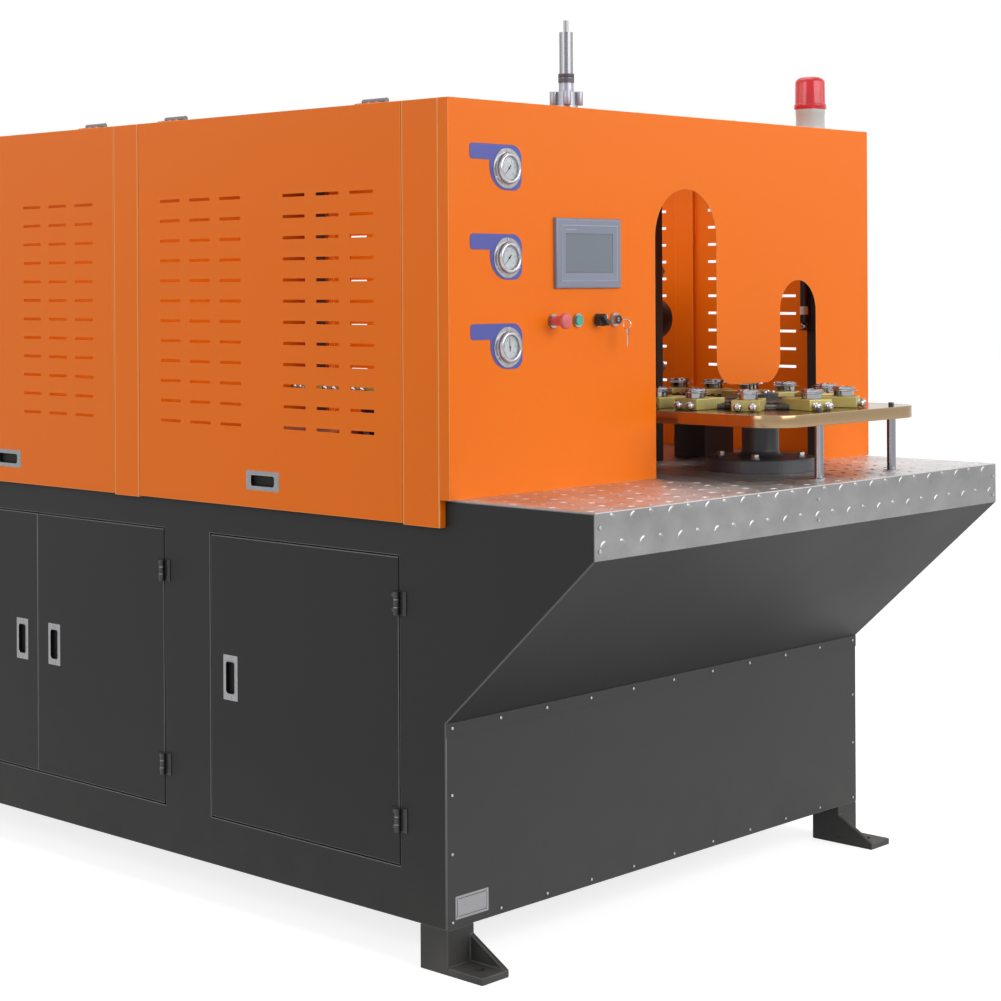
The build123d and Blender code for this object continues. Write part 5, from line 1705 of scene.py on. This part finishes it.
# Faces on the rising side and top of the raised line take the lighter finish: painted highlight.
for inset, rise in ((ridge_inset, 0), (0.0006, 0.0009), (0.0016, 0), (0.0006, -0.0009)):
    ring = bmesh.ops.inset_region(case_bm, faces=[window], thickness=inset, depth=rise)["faces"]
    for face in ring:
        face.material_index = int(inset < ridge_inset and rise >= 0)
for vert in window.verts:
    vert.co.x = window_width / 2 * (1 if vert.co.x > 0 else -1)
    vert.co.y = window_height / 2 * (1 if vert.co.y > 0 else -1)
    vert.co.z = screen_depth - 0.0002
bmesh.ops.remove_doubles(case_bm, verts=case_bm.verts, dist=1e-6)
middles = {face: face.calc_center_median() for face in case_bm.faces}
window = min(
    (face for face in case_bm.faces if abs(middles[face].x) < 1e-4 and middles[face].z > 0.003),
    key=lambda face: middles[face].length,
)
bmesh.ops.inset_region(case_bm, faces=[window], thickness=0.0006, depth=-0.002)
case_place = at(screen_x, panel_y, screen_z) @ facing_front
bmesh.ops.transform(case_bm, matrix=case_place, verts=case_bm.verts)
# A lighter blue-grey, for the small pad and as painted highlight on the raised line.
pad_plastic_and_ridge_highlight = coated(
    "operator_pad_and_ridge_highlight", (0.4, 0.42, 0.5), clouds=0.05, grain=0.0008, relief=0.00002, roughness=0.35,
    spread=0.08,
)
case_finishes = (case_plastic, pad_plastic_and_ridge_highlight)
case_piece = add_piece(case_bm, "operator_case", case_finishes, "frame")
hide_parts("screen_case")
screen_film = coated(
    "screen_film", (0.17, 0.2, 0.245), clouds=0.12, grain=0.0007, relief=0.00001, roughness=0.3,
    spread=0.12,
)
film_outline = rectangle(window_width - gasket, window_height - gasket)
film_shape = plate_shape(film_outline, 0.0018, (0.0015,) * 4, 0.0003)
film_place = at(screen_x, panel_y - screen_depth + 0.0024, screen_z) @ facing_front
film_bm = placed((film_shape, film_place))
film_piece = add_piece(film_bm, "touch_film", screen_film, "frame")
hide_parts("screen_glass")
pad_shape = plate_shape(rectangle(0.034, 0.0075), 0.0004, (0.001,) * 4)
pad_place = at(screen_low.x + 0.045, panel_y - screen_depth, screen_high.z - 0.0225)
pad_bm = placed((pad_shape, pad_place @ facing_front))
add_piece(pad_bm, "operator_case_pad", pad_plastic_and_ridge_highlight, "frame")

# Controls: a mushroom emergency stop, a green start button, a black selector and a key switch
# with a black face, each in a chromed ring.
dress(bright_chrome, "control_collars")
stop_red = coated(
    "stop_red", (0.7, 0.135, 0.14), clouds=0.06, grain=0.0012, relief=0.00002, roughness=0.35,
    spread=0.1,
)
start_green = coated(
    "start_green", (0.08, 0.5, 0.38), clouds=0.06, grain=0.0012, relief=0.00002, roughness=0.25,
    spread=0.1, transmission=0.15,
)
knob_black = coated(
    "knob_black", (0.022, 0.022, 0.024), clouds=0.1, grain=0.0008, relief=0.00003, roughness=0.36,
    spread=0.1,
)
stop_low, stop_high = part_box("stop_button")
stop_x = (stop_low.x + stop_high.x) / 2
control_z = 1.345
stop_reach = panel_y - stop_low.y
stop_head = turned(
    (
        (0, stop_reach),
        (0.0115, stop_reach - 0.0004),
        (0.0148, stop_reach - 0.0014),
        (0.0166, stop_reach - 0.0036),
        (0.0172, stop_reach - 0.0075),
        (0.017, stop_reach - 0.0105),
        (0.015, stop_reach - 0.0125),
        (0.0118, stop_reach - 0.015),
        (0.0105, stop_reach - 0.02),
        (0.0108, -0.0195),
        (0, -0.0195),
    ),
    40,
)
stop_bm = placed((stop_head, at(stop_x, panel_y, control_z) @ facing_front))
stop_piece = add_piece(stop_bm, "stop_mushroom", stop_red, "stop_button")
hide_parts("stop_button")
dress(start_green, "start_button")
rounded_sheet(
    "selector_knob", "selector_knob", knob_black, radius=0.0008, shortest=0.001
)
selector_low, selector_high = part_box("selector_knob")
selector_x = (selector_low.x + selector_high.x) / 2
mark_shape = block_shape((0.0022, 0.0006, 0.009), 0.0002)
mark_bm = placed((mark_shape, at(selector_x, selector_low.y - 0.0001, selector_high.z - 0.0075)))
add_piece(mark_bm, "selector_mark", dial_white, "selector_knob")
rounded_sheet(
    "key_switch", "key_switch", bright_chrome, radius=0.0004, shortest=0.001
)
key_low, key_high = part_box("key_switch")
key_x = (key_low.x + key_high.x) / 2
face_y = -0.9425
face_top = 0.0012
face_edge = 0.0007
face_ring = turned(
    (
        (0.0046, 0),
        (0.0103, 0),
        (0.0103, face_edge),
        (0.0097, face_top),
        (0.0052, face_top),
        (0.0046, face_edge),
    ),
    36,
)
face_bm = placed((face_ring, at(key_x, face_y, control_z) @ facing_front))
add_piece(face_bm, "key_switch_face", knob_black, "key_switch")

# Key ring: a split ring through the key's bow with a second key that hangs from it. The key
# turns on its own axis, so the ring stays hanging.
key_steel = worked(
    "key_steel", (0.5, 0.49, 0.47), grain=(90, 90, 90), streaks=0.1, relief=0.00002, roughness=0.22,
    spread=0.12, smudge=40,
)
ring_radius = 0.0105
ring_wire = 0.0009
ring_y = key_low.y + 0.004
ring_bm = bmesh.new()
wire = bmesh.ops.create_circle(ring_bm, segments=8, radius=ring_wire)
upright = Matrix.Rotation(pi / 2, 3, "X")
bmesh.ops.rotate(ring_bm, verts=wire["verts"], cent=(0, 0, 0), matrix=upright)
bmesh.ops.translate(ring_bm, verts=wire["verts"], vec=(ring_radius, 0, 0))
bmesh.ops.spin(
    ring_bm,
    geom=ring_bm.verts[:] + ring_bm.edges[:],
    cent=(0, 0, 0),
    axis=(0, 0, 1),
    angle=2 * pi,
    steps=36,
    use_merge=True,
    use_duplicate=False,
)
bmesh.ops.transform(
    ring_bm,
    matrix=at(key_x, ring_y, control_z - ring_radius) @ Matrix.Rotation(radians(90), 4, "Y"),
    verts=ring_bm.verts,
)
hanging_key = plate_shape(
    (
        (-0.0085, 0),
        (0.0085, 0),
        (0.0095, -0.011),
        (0.0042, -0.0175),
        (0.0042, -0.0305),
        (0.003, -0.033),
        (0.0042, -0.0355),
        (0.0015, -0.041),
        (-0.0035, -0.041),
        (-0.0035, -0.0175),
        (-0.0095, -0.011),
    ),
    0.0018,
    (0.005, 0.005, 0.003, 0.0005, 0, 0, 0, 0.0005, 0.0005, 0.0005, 0.003),
    0.0003,
    4,
)
bow_z = control_z - 2 * ring_radius + 0.003
key_lean = Matrix.Rotation(radians(28), 4, "Z")
key_bm = placed((hanging_key, at(key_x, ring_y - ring_wire, bow_z) @ key_lean @ facing_front))
add_piece(ring_bm, "key_ring", key_steel, "frame")
add_piece(key_bm, "hanging_key", key_steel, "frame")

# Beacon: a grey moulded base with a screw ring, under a clear red lens cap through which the
# bright reflector inside shows.
beacon_plastic = coated(
    "beacon_plastic", (0.5, 0.6, 0.62), clouds=0.06, grain=0.0009, relief=0.00004, roughness=0.22,
    spread=0.1,
)
beacon_x = 0.656
beacon_y = -0.8285
base_low, base_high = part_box("beacon_base")
dome_low, dome_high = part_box("beacon_dome")
base_radius = (base_high.x - base_low.x) / 2
beacon_profile = (
    (0, 0),
    (base_radius - 0.001, 0),
    (base_radius, 0.001),
    (base_radius, 0.012),
    (base_radius - 0.0008, 0.013),
    (base_radius - 0.0008, 0.044),
    (base_radius, 0.0455),
    (base_radius, 0.0575),
    (base_radius - 0.006, 0.058),
    (0, 0.058),
)
beacon_bm = placed((turned(beacon_profile, 64), at(beacon_x, beacon_y, base_low.z)))
base_piece = add_piece(beacon_bm, "beacon_foot", beacon_plastic, "frame")
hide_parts("beacon_base")

dome_red = coated(
    "dome_red", (0.9, 0.025, 0.05), clouds=0.08, grain=0.002, relief=0.00002, roughness=0.06,
    spread=0.04, transmission=0.6,
)
dome_radius = (dome_high.x - dome_low.x) / 2
dome_height = dome_high.z - dome_low.z
dome_wall = 0.0025
dome_bm = bmesh.new()
dome_profile = (
    (dome_radius + 0.001, 0),
    (dome_radius + 0.0016, 0.001),
    (dome_radius + 0.0012, 0.0115),
    (dome_radius - 0.0012, 0.0135),
    (dome_radius - 0.0018, dome_height - 0.013),
    (dome_radius - 0.003, dome_height - 0.0085),
    (dome_radius - 0.0062, dome_height - 0.0048),
    (dome_radius - 0.0105, dome_height - 0.002),
    (dome_radius - 0.0135, dome_height - 0.0002),
    (dome_radius - 0.0165, dome_height),
    (0, dome_height),
)
dome_bm.from_mesh(turned(dome_profile, 64))
bmesh.ops.recalc_face_normals(dome_bm, faces=dome_bm.faces)
if max(dome_bm.faces, key=lambda face: face.calc_center_median().z).normal.z < 0:
    bmesh.ops.reverse_faces(dome_bm, faces=dome_bm.faces)
bmesh.ops.solidify(dome_bm, geom=dome_bm.faces[:], thickness=dome_wall)
bmesh.ops.transform(dome_bm, matrix=at(beacon_x, beacon_y, dome_low.z), verts=dome_bm.verts)
dome_piece = add_piece(dome_bm, "beacon_lens", dome_red, "frame")
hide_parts("beacon_dome")
dress(bright_chrome, "beacon_rotor")
